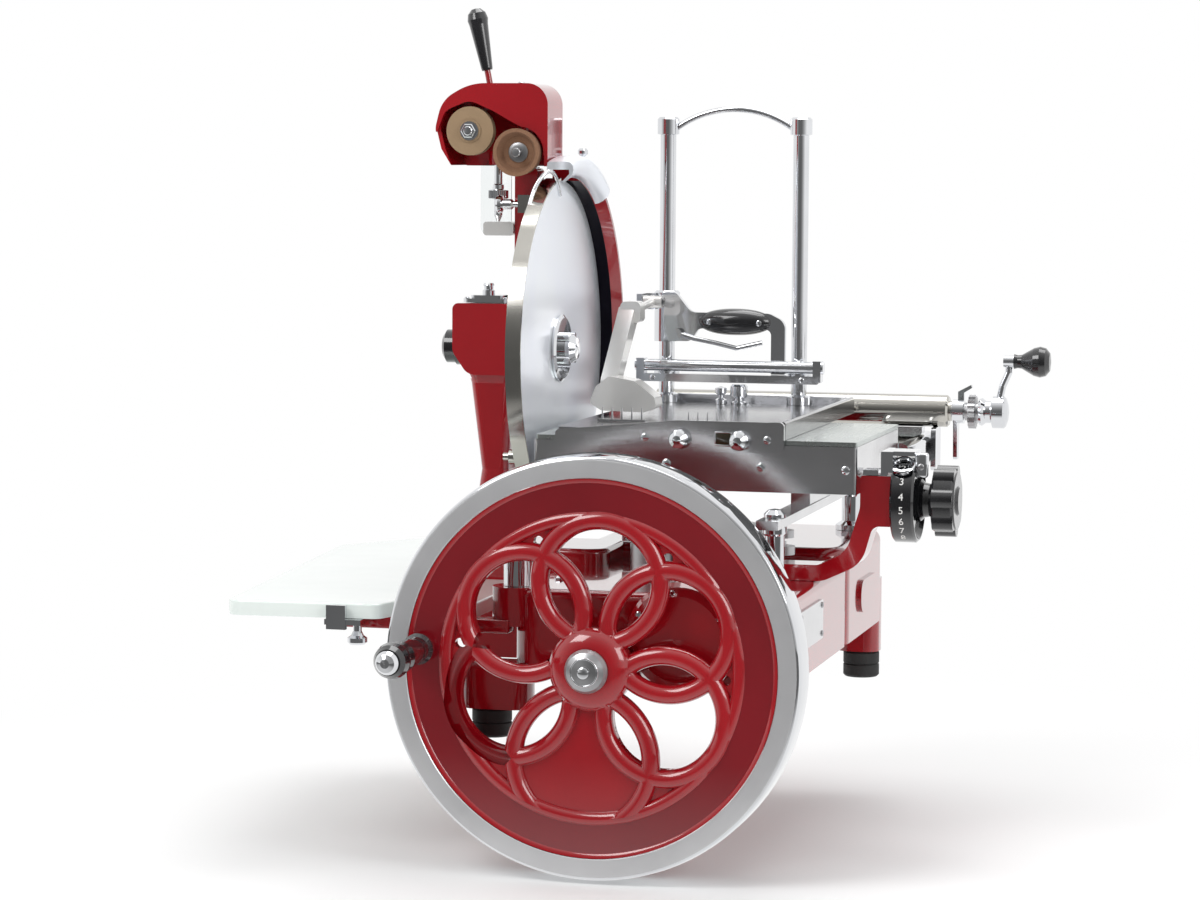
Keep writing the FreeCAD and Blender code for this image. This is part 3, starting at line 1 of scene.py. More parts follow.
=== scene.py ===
import bpy
import bmesh
import json
import math
from mathutils import Matrix, Vector


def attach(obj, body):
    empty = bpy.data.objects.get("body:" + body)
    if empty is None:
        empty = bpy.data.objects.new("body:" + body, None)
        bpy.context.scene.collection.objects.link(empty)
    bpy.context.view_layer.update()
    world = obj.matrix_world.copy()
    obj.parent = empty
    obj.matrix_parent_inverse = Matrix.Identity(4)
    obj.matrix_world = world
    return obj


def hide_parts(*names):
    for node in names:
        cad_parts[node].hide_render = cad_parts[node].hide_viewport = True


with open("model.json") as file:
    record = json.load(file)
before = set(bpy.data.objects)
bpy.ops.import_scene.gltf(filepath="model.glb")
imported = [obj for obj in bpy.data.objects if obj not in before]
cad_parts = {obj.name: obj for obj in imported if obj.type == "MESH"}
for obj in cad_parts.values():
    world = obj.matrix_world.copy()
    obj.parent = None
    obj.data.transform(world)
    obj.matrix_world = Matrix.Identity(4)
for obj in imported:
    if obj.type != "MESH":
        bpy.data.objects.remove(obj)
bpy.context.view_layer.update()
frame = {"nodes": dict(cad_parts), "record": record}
nodes = frame["nodes"]

MM = 0.001

# ---------------------------------------------------------------- places, mm
WHEEL_X, WHEEL_Z = -21, 73
WHEEL_FACE, WHEEL_BACK = -290, -244
WHEEL_R, RIM_IN = 188, 168
RIM_FACE_R = 184.4                                # the satin face ends here
RIB_CENTRE, RIB_RING, RIB_R = 77.2, 54.5, 8.5     # five equal circles of ribs
RIB_TURNS, WHEEL_TILT = (-116, -58, 0, 58, 116), 84.5     # degrees
LOW_CENTRE, LOW_RING = 81.9, 62.3                 # the wider circle at the bottom
EYE_CENTRE, EYE_R, EYE_TURNS = 121, 4.5, (-87, -29, 29, 87)
BAND_R, BAND_RIB = 133, 6.6
RECESS_IN, RECESS_OUT = 138.5, 164.2              # band inside the rim, coloured darker: painted shade in the recess
HANDLE_X, HANDLE_Z = -174.41, 86.42
DIAL_X, DIAL_Y, DIAL_Z, DIAL_R = 225, -90, 211, 39
FIGURE_SIZE, FIGURE_DEPTH, FIGURE_LIFT = 9.5, 0.25, 0.05
FIGURE_TURNS = (106, 129, 151, 172, 190, 206, 221, 236)   # degrees round the drum
BLADE_Z = 337
GUARD_BLACK_R, GUARD_BLACK_X = 161.8, -143.5      # the guard is coloured black inside these
CAP_FROM, CAP_TO = 57, 104                        # degrees round the blade
CUP_X, CUP_Z, CUP_FACE = -158.5, 523, -37.2
FLAT_X, FLAT_Z, FLAT_FACE = -207, 543, -36.2
FLOOR_Z, FLOOR_HALF = -118, 6000

TO_RIGHT, TO_FRONT, TO_BACK, TO_TOP = (1, 0, 0), (0, -1, 0), (0, 1, 0), (0, 0, 1)

# ---------------------------------------------------------------- view and light
CAMERA_AT = (0.74199, -3.22397, 0.52629)          # metres
CAMERA_TURNS = (14.42, 4.91, -0.33)               # azimuth, pitch and roll, degrees
LENS, SENSOR = 105, 36
WORLD_STRENGTH, DIM_SHADE = 0.62, 0.14
FLOOR_FADE = (0.35, 1.0)                          # metres from the middle
FLOOR_SHADE = (-0.25, -0.9)                       # metres in Y, full and dim
WORLD_SHADE = (-0.35, -0.97)                      # a direction's Y, full and dim
LAMPS = (("key", (-1.6, -2.2, 2.6), 1.6, 46),     # name, place, size, power
         ("fill", (2.6, -1.6, 1.5), 1.4, 26),
         ("top", (0.2, 0.6, 2.8), 1.8, 34))
AIM = Vector((0, 0, 0.25))


def in_scene(thing):
    """Put an object in the scene, and hand it back."""
    bpy.context.scene.collection.objects.link(thing)
    return thing


def place_camera():
    """Long lens a little to the right of the wheel and a little above it."""
    azimuth, pitch, roll = (math.radians(turn) for turn in CAMERA_TURNS)
    ahead = Vector((-math.sin(azimuth) * math.cos(pitch),
                    math.cos(azimuth) * math.cos(pitch), -math.sin(pitch)))
    level = Vector((math.cos(azimuth), math.sin(azimuth), 0))
    rise = level.cross(ahead)
    side = level * math.cos(roll) - rise * math.sin(roll)
    up = side.cross(ahead)
    data = bpy.data.cameras.new("camera")
    data.lens, data.sensor_width = LENS, SENSOR
    data.clip_start, data.clip_end = 0.1, 50
    camera = in_scene(bpy.data.objects.new("camera", data))
    turn = Matrix((side, up, -ahead)).transposed().to_4x4()
    camera.matrix_world = Matrix.Translation(CAMERA_AT) @ turn
    bpy.context.scene.camera = camera


# ---------------------------------------------------------------- finishes
def maths(tree, operation, *values):
    """Output of a maths node fed with numbers or with other outputs."""
    node = tree.nodes.new("ShaderNodeMath")
    node.operation = operation
    for socket, value in zip(node.inputs, values):
        if isinstance(value, (int, float)):
            socket.default_value = value
        else:
            tree.links.new(value, socket)
    return node.outputs[0]


class Finish:
    """A node material on a Principled shader, read in Object coordinates."""

    def __init__(self, name, **sockets):
        self.material = bpy.data.materials.new(name)
        self.material.use_nodes = True
        self.tree = self.material.node_tree
        self.shader = self.tree.nodes["Principled BSDF"]
        for socket, value in sockets.items():
            self.shader.inputs[socket.replace("_", " ")].default_value = value
        self.place = self.add("TexCoord").outputs["Object"]

    def add(self, kind, **settings):
        node = self.tree.nodes.new("ShaderNode" + kind)
        for key, value in settings.items():
            setattr(node, key, value)
        return node

    def link(self, start, end):
        self.tree.links.new(start, end)

    def stretched(self, scale):
        mapping = self.add("Mapping")
        mapping.inputs["Scale"].default_value = scale
        self.link(self.place, mapping.inputs["Vector"])
        return mapping.outputs["Vector"]

    def noise(self, scale, detail=3, stretch=None):
        noise = self.add("TexNoise")
        noise.inputs["Scale"].default_value = scale
        noise.inputs["Detail"].default_value = detail
        self.link(self.stretched(stretch) if stretch else self.place,
                  noise.inputs["Vector"])
        return noise.outputs["Fac"]

    def ramp(self, value, low, high, start=0.3, end=0.7):
        ramp = self.add("ValToRGB")
        marks = zip(ramp.color_ramp.elements, (start, end), (low, high))
        for element, at, colour in marks:
            element.position = at
            element.color = (*colour, 1)
        self.link(value, ramp.inputs["Fac"])
        return ramp.outputs["Color"]

    def spread(self, value, low, high):
        change = self.add("MapRange")
        change.inputs["To Min"].default_value = low
        change.inputs["To Max"].default_value = high
        self.link(value, change.inputs["Value"])
        return change.outputs["Result"]

    def colour(self, output):
        self.link(output, self.shader.inputs["Base Color"])

    def rough(self, value, low, high):
        self.link(self.spread(value, low, high), self.shader.inputs["Roughness"])

    def bump(self, value, strength, depth):
        bump = self.add("Bump")
        bump.inputs["Strength"].default_value = strength
        bump.inputs["Distance"].default_value = depth
        self.link(value, bump.inputs["Height"])
        self.link(bump.outputs["Normal"], self.shader.inputs["Normal"])


def enamel(name, dark, light):
    """Thick glossy stove enamel with a faint orange-peel surface."""
    coat = Finish(name, Coat_Weight=1.0, Coat_Roughness=0.03)
    coat.colour(coat.ramp(coat.noise(9), dark, light))
    coat.rough(coat.noise(60), 0.10, 0.18)
    coat.bump(coat.noise(420, 1), 0.03, 0.0003)
    return coat.material


def bright_metal(name, dark, light, rough_low, rough_high, streak=None, depth=0.00003,
                 metallic=1.0):
    """Plated or polished metal; streak stretches the grain along one way."""
    metal = Finish(name, Metallic=metallic)
    metal.colour(metal.ramp(metal.noise(14), dark, light))
    grain = metal.noise(260, 4, streak)
    metal.rough(grain, rough_low, rough_high)
    metal.bump(grain, 0.08, depth)
    return metal.material


def moulded(name, colour, light, rough_low, rough_high, coat):
    """Plastic, rubber or paint with a fine moulded grain."""
    plastic = Finish(name, Coat_Weight=coat, Coat_Roughness=0.05)
    plastic.colour(plastic.ramp(plastic.noise(30), colour, light))
    plastic.rough(plastic.noise(180), rough_low, rough_high)
    plastic.bump(plastic.noise(700, 2), 0.06, 0.0002)
    return plastic.material


def grit_stone(name, dark, light):
    """Bonded abrasive: coarse speckle and a pitted face."""
    stone = Finish(name, Roughness=0.9)
    grit = stone.noise(2600, 6)
    stone.colour(stone.ramp(grit, dark, light, 0.35, 0.65))
    stone.bump(grit, 0.7, 0.0004)
    return stone.material


def plate_glass(name):
    """Opaque pale glass of the receiving plate."""
    glass = Finish(name, Coat_Weight=0.6, Coat_Roughness=0.02)
    glass.colour(glass.ramp(glass.noise(5), (0.72, 0.79, 0.76), (0.80, 0.85, 0.82)))
    glass.rough(glass.noise(40), 0.06, 0.12)
    return glass.material


def clear_sheet(name):
    """Clear plastic that light passes through."""
    sheet = Finish(name, Transmission_Weight=1.0, IOR=1.45)
    sheet.colour(sheet.ramp(sheet.noise(12), (0.93, 0.96, 0.96), (0.98, 0.99, 0.99)))
    sheet.rough(sheet.noise(60), 0.02, 0.06)
    return sheet.material


LINES_X, LINES_Y = (0.04, 1, 1), (1, 0.04, 1)     # grain drawn out along an axis
RED_TONES = (0.27, 0.0025, 0.007), (0.33, 0.004, 0.009)
RED = enamel("red_enamel", *RED_TONES)
# Darker red for the recessed band inside the rim: painted shade in the recess.
RECESS_SHADE_RED = enamel("red_with_painted_recess_shade", (0.15, 0.003, 0.007), (0.19, 0.004, 0.009))
CHROME = bright_metal("bright_chrome", (0.68, 0.69, 0.71), (0.78, 0.79, 0.81), 0.03, 0.08)
POLISHED = bright_metal("polished_steel", (0.62, 0.62, 0.63), (0.72, 0.72, 0.73),
                        0.12, 0.24, LINES_X, 0.00006)
# Satin ring-face steel, only partly metallic: its diffuse grey is painted sheen that
# lifts the face's brightness.
RIM_STEEL_PAINTED_SHEEN = bright_metal("rim_steel_painted_sheen", (0.52, 0.52, 0.53), (0.60, 0.60, 0.61),
                         0.26, 0.38, LINES_Y, 0.00005, 0.55)
BARE = bright_metal("bare_steel", (0.40, 0.40, 0.41), (0.52, 0.52, 0.53), 0.28, 0.42)
GREY_TOP = bright_metal("grey_top", (0.50, 0.54, 0.52), (0.58, 0.62, 0.60),
                        0.20, 0.32, LINES_Y, 0.00004)
# Polished blade steel, only partly metallic with a near-white diffuse part: painted sheen
# standing in for the white it reflects.
STEEL_WITH_PAINTED_SHEEN = bright_metal("blade_steel_painted_sheen", (0.90, 0.93, 1.0), (0.93, 0.96, 1.0),
                      0.26, 0.36, LINES_X, 0.00002, 0.7)
# Satin metal, only partly metallic with a pale diffuse part: painted sheen that keeps the
# stop block and clamp arm bright.
SATIN_PAINTED_SHEEN = bright_metal("satin_plate_painted_sheen", (0.76, 0.75, 0.73), (0.84, 0.83, 0.81),
                     0.12, 0.22, LINES_X, metallic=0.45)
TABLE_STEEL = bright_metal("table_steel", (0.40, 0.40, 0.41), (0.50, 0.50, 0.51),
                           0.14, 0.24, LINES_X, 0.00005)
TUBE_STEEL = bright_metal("tube_steel", (0.48, 0.47, 0.43), (0.58, 0.56, 0.52),
                          0.08, 0.16, LINES_X)
WINDOW = moulded("dark_window", (0.010, 0.008, 0.005), (0.045, 0.034, 0.014),
                 0.1, 0.2, 1.0)
BLACK = moulded("black_grip", (0.006, 0.006, 0.007), (0.014, 0.014, 0.016),
                0.12, 0.25, 0.8)
BLACK_PAINT = enamel("black_enamel", (0.004, 0.004, 0.005), (0.010, 0.010, 0.012))
RUBBER = moulded("foot_rubber", (0.010, 0.010, 0.010), (0.022, 0.022, 0.022),
                 0.55, 0.75, 0)
WHITE_PAINT = moulded("figure_paint", (0.74, 0.74, 0.72), (0.82, 0.82, 0.80),
                      0.4, 0.5, 0)
PLATE = plate_glass("white_glass")
STONE = grit_stone("brown_stone", (0.22, 0.14, 0.08), (0.38, 0.27, 0.16))
CUP = grit_stone("cup_grit", (0.17, 0.08, 0.045), (0.29, 0.16, 0.09))
CLEAR = clear_sheet("clear_guard")


def guard_finish():
    """Red guard, coloured black and without gloss within a set radius of the blade axis,
    on the blade's side.
    """
    coat = Finish("guard_enamel", Coat_Weight=1.0, Coat_Roughness=0.03)
    tree, apart, across = coat.tree, coat.add("SeparateXYZ"), coat.add("CombineXYZ")
    coat.link(coat.place, apart.inputs[0])
    up = maths(tree, "SUBTRACT", apart.outputs["Z"], BLADE_Z * MM)
    coat.link(apart.outputs["Y"], across.inputs["X"])
    coat.link(up, across.inputs["Y"])
    reach = coat.add("VectorMath", operation="LENGTH")
    coat.link(across.outputs[0], reach.inputs[0])
    inside = maths(tree, "LESS_THAN", reach.outputs["Value"], GUARD_BLACK_R * MM)
    ring_side = maths(tree, "GREATER_THAN", apart.outputs["X"], GUARD_BLACK_X * MM)
    black = maths(tree, "MULTIPLY", inside, ring_side)
    mix = coat.add("Mix", data_type="RGBA")
    red_side, black_side, mixed = mix.inputs[6], mix.inputs[7], mix.outputs[2]
    coat.link(black, mix.inputs["Factor"])
    coat.link(coat.ramp(coat.noise(9), *RED_TONES), red_side)
    black_side.default_value = (0.006, 0.005, 0.009, 1)
    coat.colour(mixed)
    gloss = maths(tree, "SUBTRACT", 1.0, black)
    coat.link(gloss, coat.shader.inputs["Coat Weight"])
    coat.link(coat.spread(gloss, 0.05, 0.5), coat.shader.inputs["Specular IOR Level"])
    coat.rough(coat.noise(60), 0.16, 0.26)
    coat.bump(coat.noise(420, 1), 0.05, 0.0004)
    return coat.material


BY_SLOT = {
    "red_enamel": RED, "bright_chrome": CHROME, "polished_steel": POLISHED,
    "bare_steel": BARE, "black_grip": BLACK, "black_enamel": BLACK_PAINT,
    "foot_rubber": RUBBER, "white_glass": PLATE, "grey_top": GREY_TOP,
    "brown_stone": STONE,
}
BY_NODE = {
    "cup_stone": CUP, "blade": STEEL_WITH_PAINTED_SHEEN, "stop_block": SATIN_PAINTED_SHEEN, "clamp_arm": SATIN_PAINTED_SHEEN,
    "meat_table": TABLE_STEEL, "feed_tube": TUBE_STEEL, "slice_deflector": TUBE_STEEL,
    "blade_guard": guard_finish(),
}


def finish_cad_nodes():
    """Give each CAD node the finish of its own or of its slot."""
    slot_of = {row["node"]: row["material_slot"] for row in frame["record"]["subparts"]}
    for name, node in nodes.items():
        material = BY_NODE.get(name) or BY_SLOT[slot_of[name]]
        if not node.material_slots:
            node.data.materials.append(material)
        for slot in node.material_slots:
            slot.material = material


# ---------------------------------------------------------------- mesh helpers
def heading(direction):
    """Turn that takes +Z to direction."""
    return Vector(direction).to_track_quat("Z", "Y").to_matrix().to_4x4()


def to_piece(name, mesh, body, slot, material=None, replaced=(), crisp=35):
    """A visible piece on a body, in its slot's finish unless one is given."""
    mesh.materials.clear()
    mesh.materials.append(material or BY_SLOT[slot])
    mesh.polygons.foreach_set("use_smooth", [True] * len(mesh.polygons))
    mesh.set_sharp_from_angle(angle=math.radians(crisp))
    piece = in_scene(bpy.data.objects.new(name, mesh))
    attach(piece, body)
    if replaced:
        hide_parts(*replaced)
    return piece


def mesh_from(name, bm, scale=MM):
    """Closed up, outward-facing mesh of what bm holds; bm is freed."""
    bmesh.ops.remove_doubles(bm, verts=bm.verts, dist=1e-4)
    bmesh.ops.recalc_face_normals(bm, faces=bm.faces)
    bmesh.ops.scale(bm, vec=(scale,) * 3, verts=bm.verts)
    mesh = bpy.data.meshes.new(name)
    bm.to_mesh(mesh)
    bm.free()
    return mesh


def evaluated_mesh(work):
    """Mesh of a working object with its modifiers; the object is removed."""
    bpy.context.view_layer.update()
    graph = bpy.context.evaluated_depsgraph_get()
    mesh = bpy.data.meshes.new_from_object(work.evaluated_get(graph))
    bpy.data.objects.remove(work)
    return mesh


def join_rings(bm, near, far):
    """Faces between two closed rings of the same count."""
    for index in range(len(near)):
        after = (index + 1) % len(near)
        bm.faces.new((near[index], near[after], far[after], far[index]))


def turn_profile(bm, profile, origin, direction, segments, closed=False):
    """Revolve (radius, distance) points about the line through origin."""
    placed = Matrix.Translation(origin) @ heading(direction)
    rings = []
    for radius, distance in profile:
        if radius < 1e-6:
            rings.append([bm.verts.new(placed @ Vector((0, 0, distance)))])
            continue
        ring = []
        for step in range(segments):
            angle = 2 * math.pi * step / segments
            spot = Vector((radius * math.cos(angle), radius * math.sin(angle), distance))
            ring.append(bm.verts.new(placed @ spot))
        rings.append(ring)
    pairs = list(zip(rings, rings[1:]))
    if closed:
        pairs.append((rings[-1], rings[0]))
    for low, high in pairs:
        for step in range(segments):
            after = (step + 1) % segments
            corners = []
            for ring, order in ((low, (step, after)), (high, (after, step))):
                picks = order if len(ring) > 1 else (0,)
                corners += [ring[pick] for pick in picks]
            if len(corners) > 2:
                bm.faces.new(corners)


def ring_tube(bm, ring_r, tube_r, origin, direction, around, section):
    """A round tube bent into a ring."""
    profile = []
    for step in range(section):
        angle = 2 * math.pi * step / section
        profile.append((ring_r + tube_r * math.cos(angle), tube_r * math.sin(angle)))
    turn_profile(bm, profile, origin, direction, around, closed=True)


def solid(name, build):
    """Working object in mm, used only as a boolean operand."""
    bm = bmesh.new()
    build(bm)
    return in_scene(bpy.data.objects.new(name, mesh_from(name, bm, 1.0)))


def combine(first, others):
    """Exact boolean of first with (operation, object) pairs, as one mesh."""
    for operation, other in others:
        step = first.modifiers.new(operation.lower(), "BOOLEAN")
        step.operation = operation
        step.solver = "EXACT"
        step.object = other
    mesh = evaluated_mesh(first)
    for _, other in others:
        bpy.data.objects.remove(other)
    mesh.transform(Matrix.Scale(MM, 4))
    return mesh


# ---------------------------------------------------------------- wheel
def wheel_spot(radius, offset, y):
    """Place on the wheel, offset degrees from the openwork's upright line."""
    angle = math.radians(WHEEL_TILT + offset)
    return (WHEEL_X + radius * math.cos(angle), y, WHEEL_Z + radius * math.sin(angle))


def repaint(piece, material, wanted):
    """Second material on the faces that wanted(reach from the shaft, face) picks."""
    piece.data.materials.append(material)
    for face in piece.data.polygons:
        reach = math.hypot(face.center.x / MM - WHEEL_X, face.center.z / MM - WHEEL_Z)
        if wanted(reach, face):
            face.material_index = 1


def turned(name, profile, at, segments):
    """Ring-shaped working solid about a line along Y."""
    return solid(name, lambda bm: turn_profile(bm, profile, at, TO_BACK, segments,
                                               closed=True))


def plug(name, radius, at, segments, low=0):
    """Round working bar along Y, long enough to pass through the web."""
    high = 40
    return solid(name, lambda bm: turn_profile(
        bm, [(0, low), (radius, low), (radius, high), (0, high)], at, TO_BACK, segments))


def round_rib(name, ring_r, tube_r, at, around, section):
    """Working tube bent into a ring about a line along Y."""
    return solid(name, lambda bm: ring_tube(bm, ring_r, tube_r, at, TO_BACK, around,
                                            section))


def wheel_casting():
    """Red openwork: band, web and the round ribs of six crossing circles."""
    centre, front, mid = (WHEEL_X, WHEEL_FACE, WHEEL_Z), WHEEL_FACE - 5, WHEEL_FACE + 7
    web = turned("web", [(35, 6), (136, 6), (136, 14), (35, 14)], centre, 160)
    cuts = [plug("gap", RIB_RING - RIB_R, wheel_spot(RIB_CENTRE, turn, front), 96)
            for turn in RIB_TURNS]
    cuts += [plug("eye", EYE_R, wheel_spot(EYE_CENTRE, turn, front), 32)
             for turn in EYE_TURNS]
    band = turned("band", [(134, 15), (134, 4), (138, 3), (163.5, 3), (165, 1.6),
                           (167.6, 1.2), (167.6, 15)], centre, 192)
    band_rib = round_rib("band_rib", BAND_R, BAND_RIB, (WHEEL_X, mid, WHEEL_Z), 160, 20)
    ribs = [round_rib("rib", RIB_RING, RIB_R, wheel_spot(RIB_CENTRE, turn, mid), 112, 24)
            for turn in RIB_TURNS]
    low_rib = round_rib("low_rib", LOW_RING, RIB_R, wheel_spot(LOW_CENTRE, 180, mid),
                        112, 24)
    low_mesh = combine(low_rib, [("INTERSECT", plug("inside", BAND_R, centre, 160, -20))])
    low_mesh.transform(Matrix.Scale(1 / MM, 4))       # back to mm for the next boolean
    low_rib = in_scene(bpy.data.objects.new("low_rib_cut", low_mesh))
    hub = turned("hub", [(14.3, 12), (14.3, -9.6), (20, -9.6), (28, -7.5), (33, -4),
                         (36.5, 0), (37, 3), (37, 12), (32, 16), (28, 26), (28, 44),
                         (14.3, 44)], centre, 96)
    boss = turned("boss", [(6.3, -3.6), (10, -3.6), (11, -2.6), (11, 22), (6.3, 22)],
                  (HANDLE_X, WHEEL_FACE, HANDLE_Z), 48)
    mesh = combine(web, [("DIFFERENCE", cut) for cut in cuts]
                   + [("UNION", part) for part in (band, band_rib, low_rib, *ribs, hub,
                                                   boss)])
    wheel = to_piece("wheel_casting", mesh, "wheel", "red_enamel",
                     replaced=("flywheel",), crisp=40)
    # The recessed band's front faces get the darker red: painted shade.
    repaint(wheel, RECESS_SHADE_RED, lambda reach, face: RECESS_IN < reach < RECESS_OUT
            and face.normal.y < -0.9)


def wheel_rim():
    """Crowned rim with its satin ring face, outside the enamel."""
    deep = WHEEL_BACK - WHEEL_FACE
    face_ring = [(RIM_IN, 15), (RIM_IN, 1.0), (168.8, 0.2), (183, 0.2)]
    crown = [(184.5, 0.4), (186.3, 1.6), (187.3, 4), (WHEEL_R, 9), (WHEEL_R, deep - 9),
             (187.3, deep - 4), (186.2, deep - 1.5), (184, deep), (178, deep),
             (173, deep - 6), (173, 18)]
    bm = bmesh.new()
    turn_profile(bm, face_ring + crown, (WHEEL_X, WHEEL_FACE, WHEEL_Z), TO_BACK, 224,
                 closed=True)
    rim = to_piece("wheel_rim", mesh_from("wheel_rim", bm), "wheel", "bright_chrome",
                   replaced=("flywheel",), crisp=30)
    # The satin ring face gets the partly diffuse steel, whose extra brightness is painted
    # sheen.
    repaint(rim, RIM_STEEL_PAINTED_SHEEN, lambda reach, face: reach < RIM_FACE_R
            and face.center.y < (WHEEL_FACE + 1.2) * MM)


def hub_details():
    """Raised ring and small screw on the domed hub cap."""
    bm = bmesh.new()
    ring_tube(bm, 12, 1.1, (WHEEL_X, -309.2, WHEEL_Z), TO_BACK, 64, 12)
    turn_profile(bm, [(0, 0), (5.2, 0), (5.2, 1.6), (3.8, 2.6), (0, 3.0)],
                 (WHEEL_X, -311.2, WHEEL_Z), TO_FRONT, 32)
    to_piece("hub_cap_ring", mesh_from("hub_cap_ring", bm), "wheel", "bright_chrome")


# ---------------------------------------------------------------- repeated shapes
def shape_group(name, inputs):
    """Geometry node tree with the given inputs, and their identifiers."""
    tree = bpy.data.node_groups.new(name, "GeometryNodeTree")
    sockets = {}
    for label, kind in inputs:
        socket = tree.interface.new_socket(label, in_out="INPUT",
                                           socket_type="NodeSocket" + kind)
        sockets[label] = socket.identifier
    tree.interface.new_socket("Geometry", in_out="OUTPUT",
                              socket_type="NodeSocketGeometry")
    return tree, sockets


def end_group(tree, points, shape, turn=None):
    """End a tree with one real copy of shape on each of the points."""
    add, link = tree.nodes.new, tree.links.new
    spots, real = add("GeometryNodeInstanceOnPoints"), add("GeometryNodeRealizeInstances")
    link(points, spots.inputs["Points"])
    link(shape, spots.inputs["Instance"])
    if turn is not None:
        link(turn, spots.inputs["Rotation"])
    link(spots.outputs["Instances"], real.inputs["Geometry"])
    link(real.outputs["Geometry"], add("NodeGroupOutput").inputs["Geometry"])


def grown(name, mesh, group, values):
    """What a node tree makes of a mesh, as a plain mesh."""
    tree, sockets = group
    holder = in_scene(bpy.data.objects.new(name, mesh))
    grow = holder.modifiers.new("shapes", "NODES")
    grow.node_group = tree
    for label, value in values.items():
        grow[sockets[label]] = value
    return evaluated_mesh(holder)


def screw_group():
    """Node tree: one slotted round head on every vertex of the input mesh."""
    tree, sockets = shape_group("slotted_heads", (
        ("Geometry", "Geometry"), ("Head Radius", "Float"), ("Head Height", "Float"),
        ("Slot Width", "Float"), ("Turn", "Vector"), ("Sides", "Int")))
    add, link = tree.nodes.new, tree.links.new
    given = add("NodeGroupInput").outputs
    radius, height = given["Head Radius"], given["Head Height"]

    def times(value, factor):
        return maths(tree, "MULTIPLY", value, factor)

    def raised(shape, rise):
        lift, move = add("ShaderNodeCombineXYZ"), add("GeometryNodeTransform")
        link(rise, lift.inputs["Z"])
        link(shape.outputs["Mesh"], move.inputs["Geometry"])
        link(lift.outputs[0], move.inputs["Translation"])
        return move.outputs["Geometry"]

    low, dome = add("GeometryNodeMeshCylinder"), add("GeometryNodeMeshCone")
    for shape in (low, dome):
        link(given["Sides"], shape.inputs["Vertices"])
    link(radius, low.inputs["Radius"])
    link(height, low.inputs["Depth"])
    link(radius, dome.inputs["Radius Bottom"])
    link(times(radius, 0.62), dome.inputs["Radius Top"])
    link(times(height, 0.5), dome.inputs["Depth"])
    slot, size = add("GeometryNodeMeshCube"), add("ShaderNodeCombineXYZ")
    link(times(radius, 3.0), size.inputs["X"])
    link(given["Slot Width"], size.inputs["Y"])
    link(height, size.inputs["Z"])
    link(size.outputs[0], slot.inputs["Size"])
    merge, cut = add("GeometryNodeMeshBoolean"), add("GeometryNodeMeshBoolean")
    merge.operation, cut.operation = "UNION", "DIFFERENCE"
    merge.solver = cut.solver = "EXACT"
    link(low.outputs["Mesh"], merge.inputs["Mesh 2"])
    link(raised(dome, times(height, 0.5)), merge.inputs["Mesh 2"])
    link(merge.outputs["Mesh"], cut.inputs["Mesh 1"])
    link(raised(slot, times(height, 1.25)), cut.inputs["Mesh 2"])
    end_group(tree, given["Geometry"], cut.outputs["Mesh"], given["Turn"])
    return tree, sockets


def knurl_group():
    """Node tree: upright ridges in a ring, for the knurl of a nut."""
    tree, sockets = shape_group("knurl_ring", (
        ("Ring Radius", "Float"), ("Ridge Width", "Float"), ("Ridge Height", "Float"),
        ("Ridges", "Int")))
    add, link = tree.nodes.new, tree.links.new
    given = add("NodeGroupInput").outputs
    ring, ridge = add("GeometryNodeMeshCircle"), add("GeometryNodeMeshCylinder")
    link(given["Ridges"], ring.inputs["Vertices"])
    link(given["Ring Radius"], ring.inputs["Radius"])
    ridge.inputs["Vertices"].default_value = 6
    link(given["Ridge Width"], ridge.inputs["Radius"])
    link(given["Ridge Height"], ridge.inputs["Depth"])
    end_group(tree, ring.outputs["Mesh"], ridge.outputs["Mesh"])
    return tree, sockets


SCREW_GROUP, KNURL_GROUP = screw_group(), knurl_group()


def screws(name, spots, facing, body, radius, height, slot_width=0.9, sides=20,
           slot="bright_chrome"):
    """Heads at the given places, mm, all facing one way."""
    places = bpy.data.meshes.new(name + "_places")
    places.from_pydata([Vector(spot) * MM for spot in spots], [], [])
    made = grown(name + "_places", places, SCREW_GROUP, {
        "Head Radius": radius * MM, "Head Height": height * MM,
        "Slot Width": slot_width * MM, "Turn": tuple(heading(facing).to_euler()),
        "Sides": sides})
    to_piece(name, made, body, slot)


def knurl(name, centre, direction, body, radius, width, height, ridges):
    """Ring of ridges about a line, as one plain mesh."""
    made = grown(name + "_ring", bpy.data.meshes.new(name + "_ring"), KNURL_GROUP, {
        "Ring Radius": radius * MM, "Ridge Width": width * MM,
        "Ridge Height": height * MM, "Ridges": ridges})
    made.transform(Matrix.Translation(Vector(centre) * MM) @ heading(direction))
    to_piece(name, made, body, "bright_chrome")


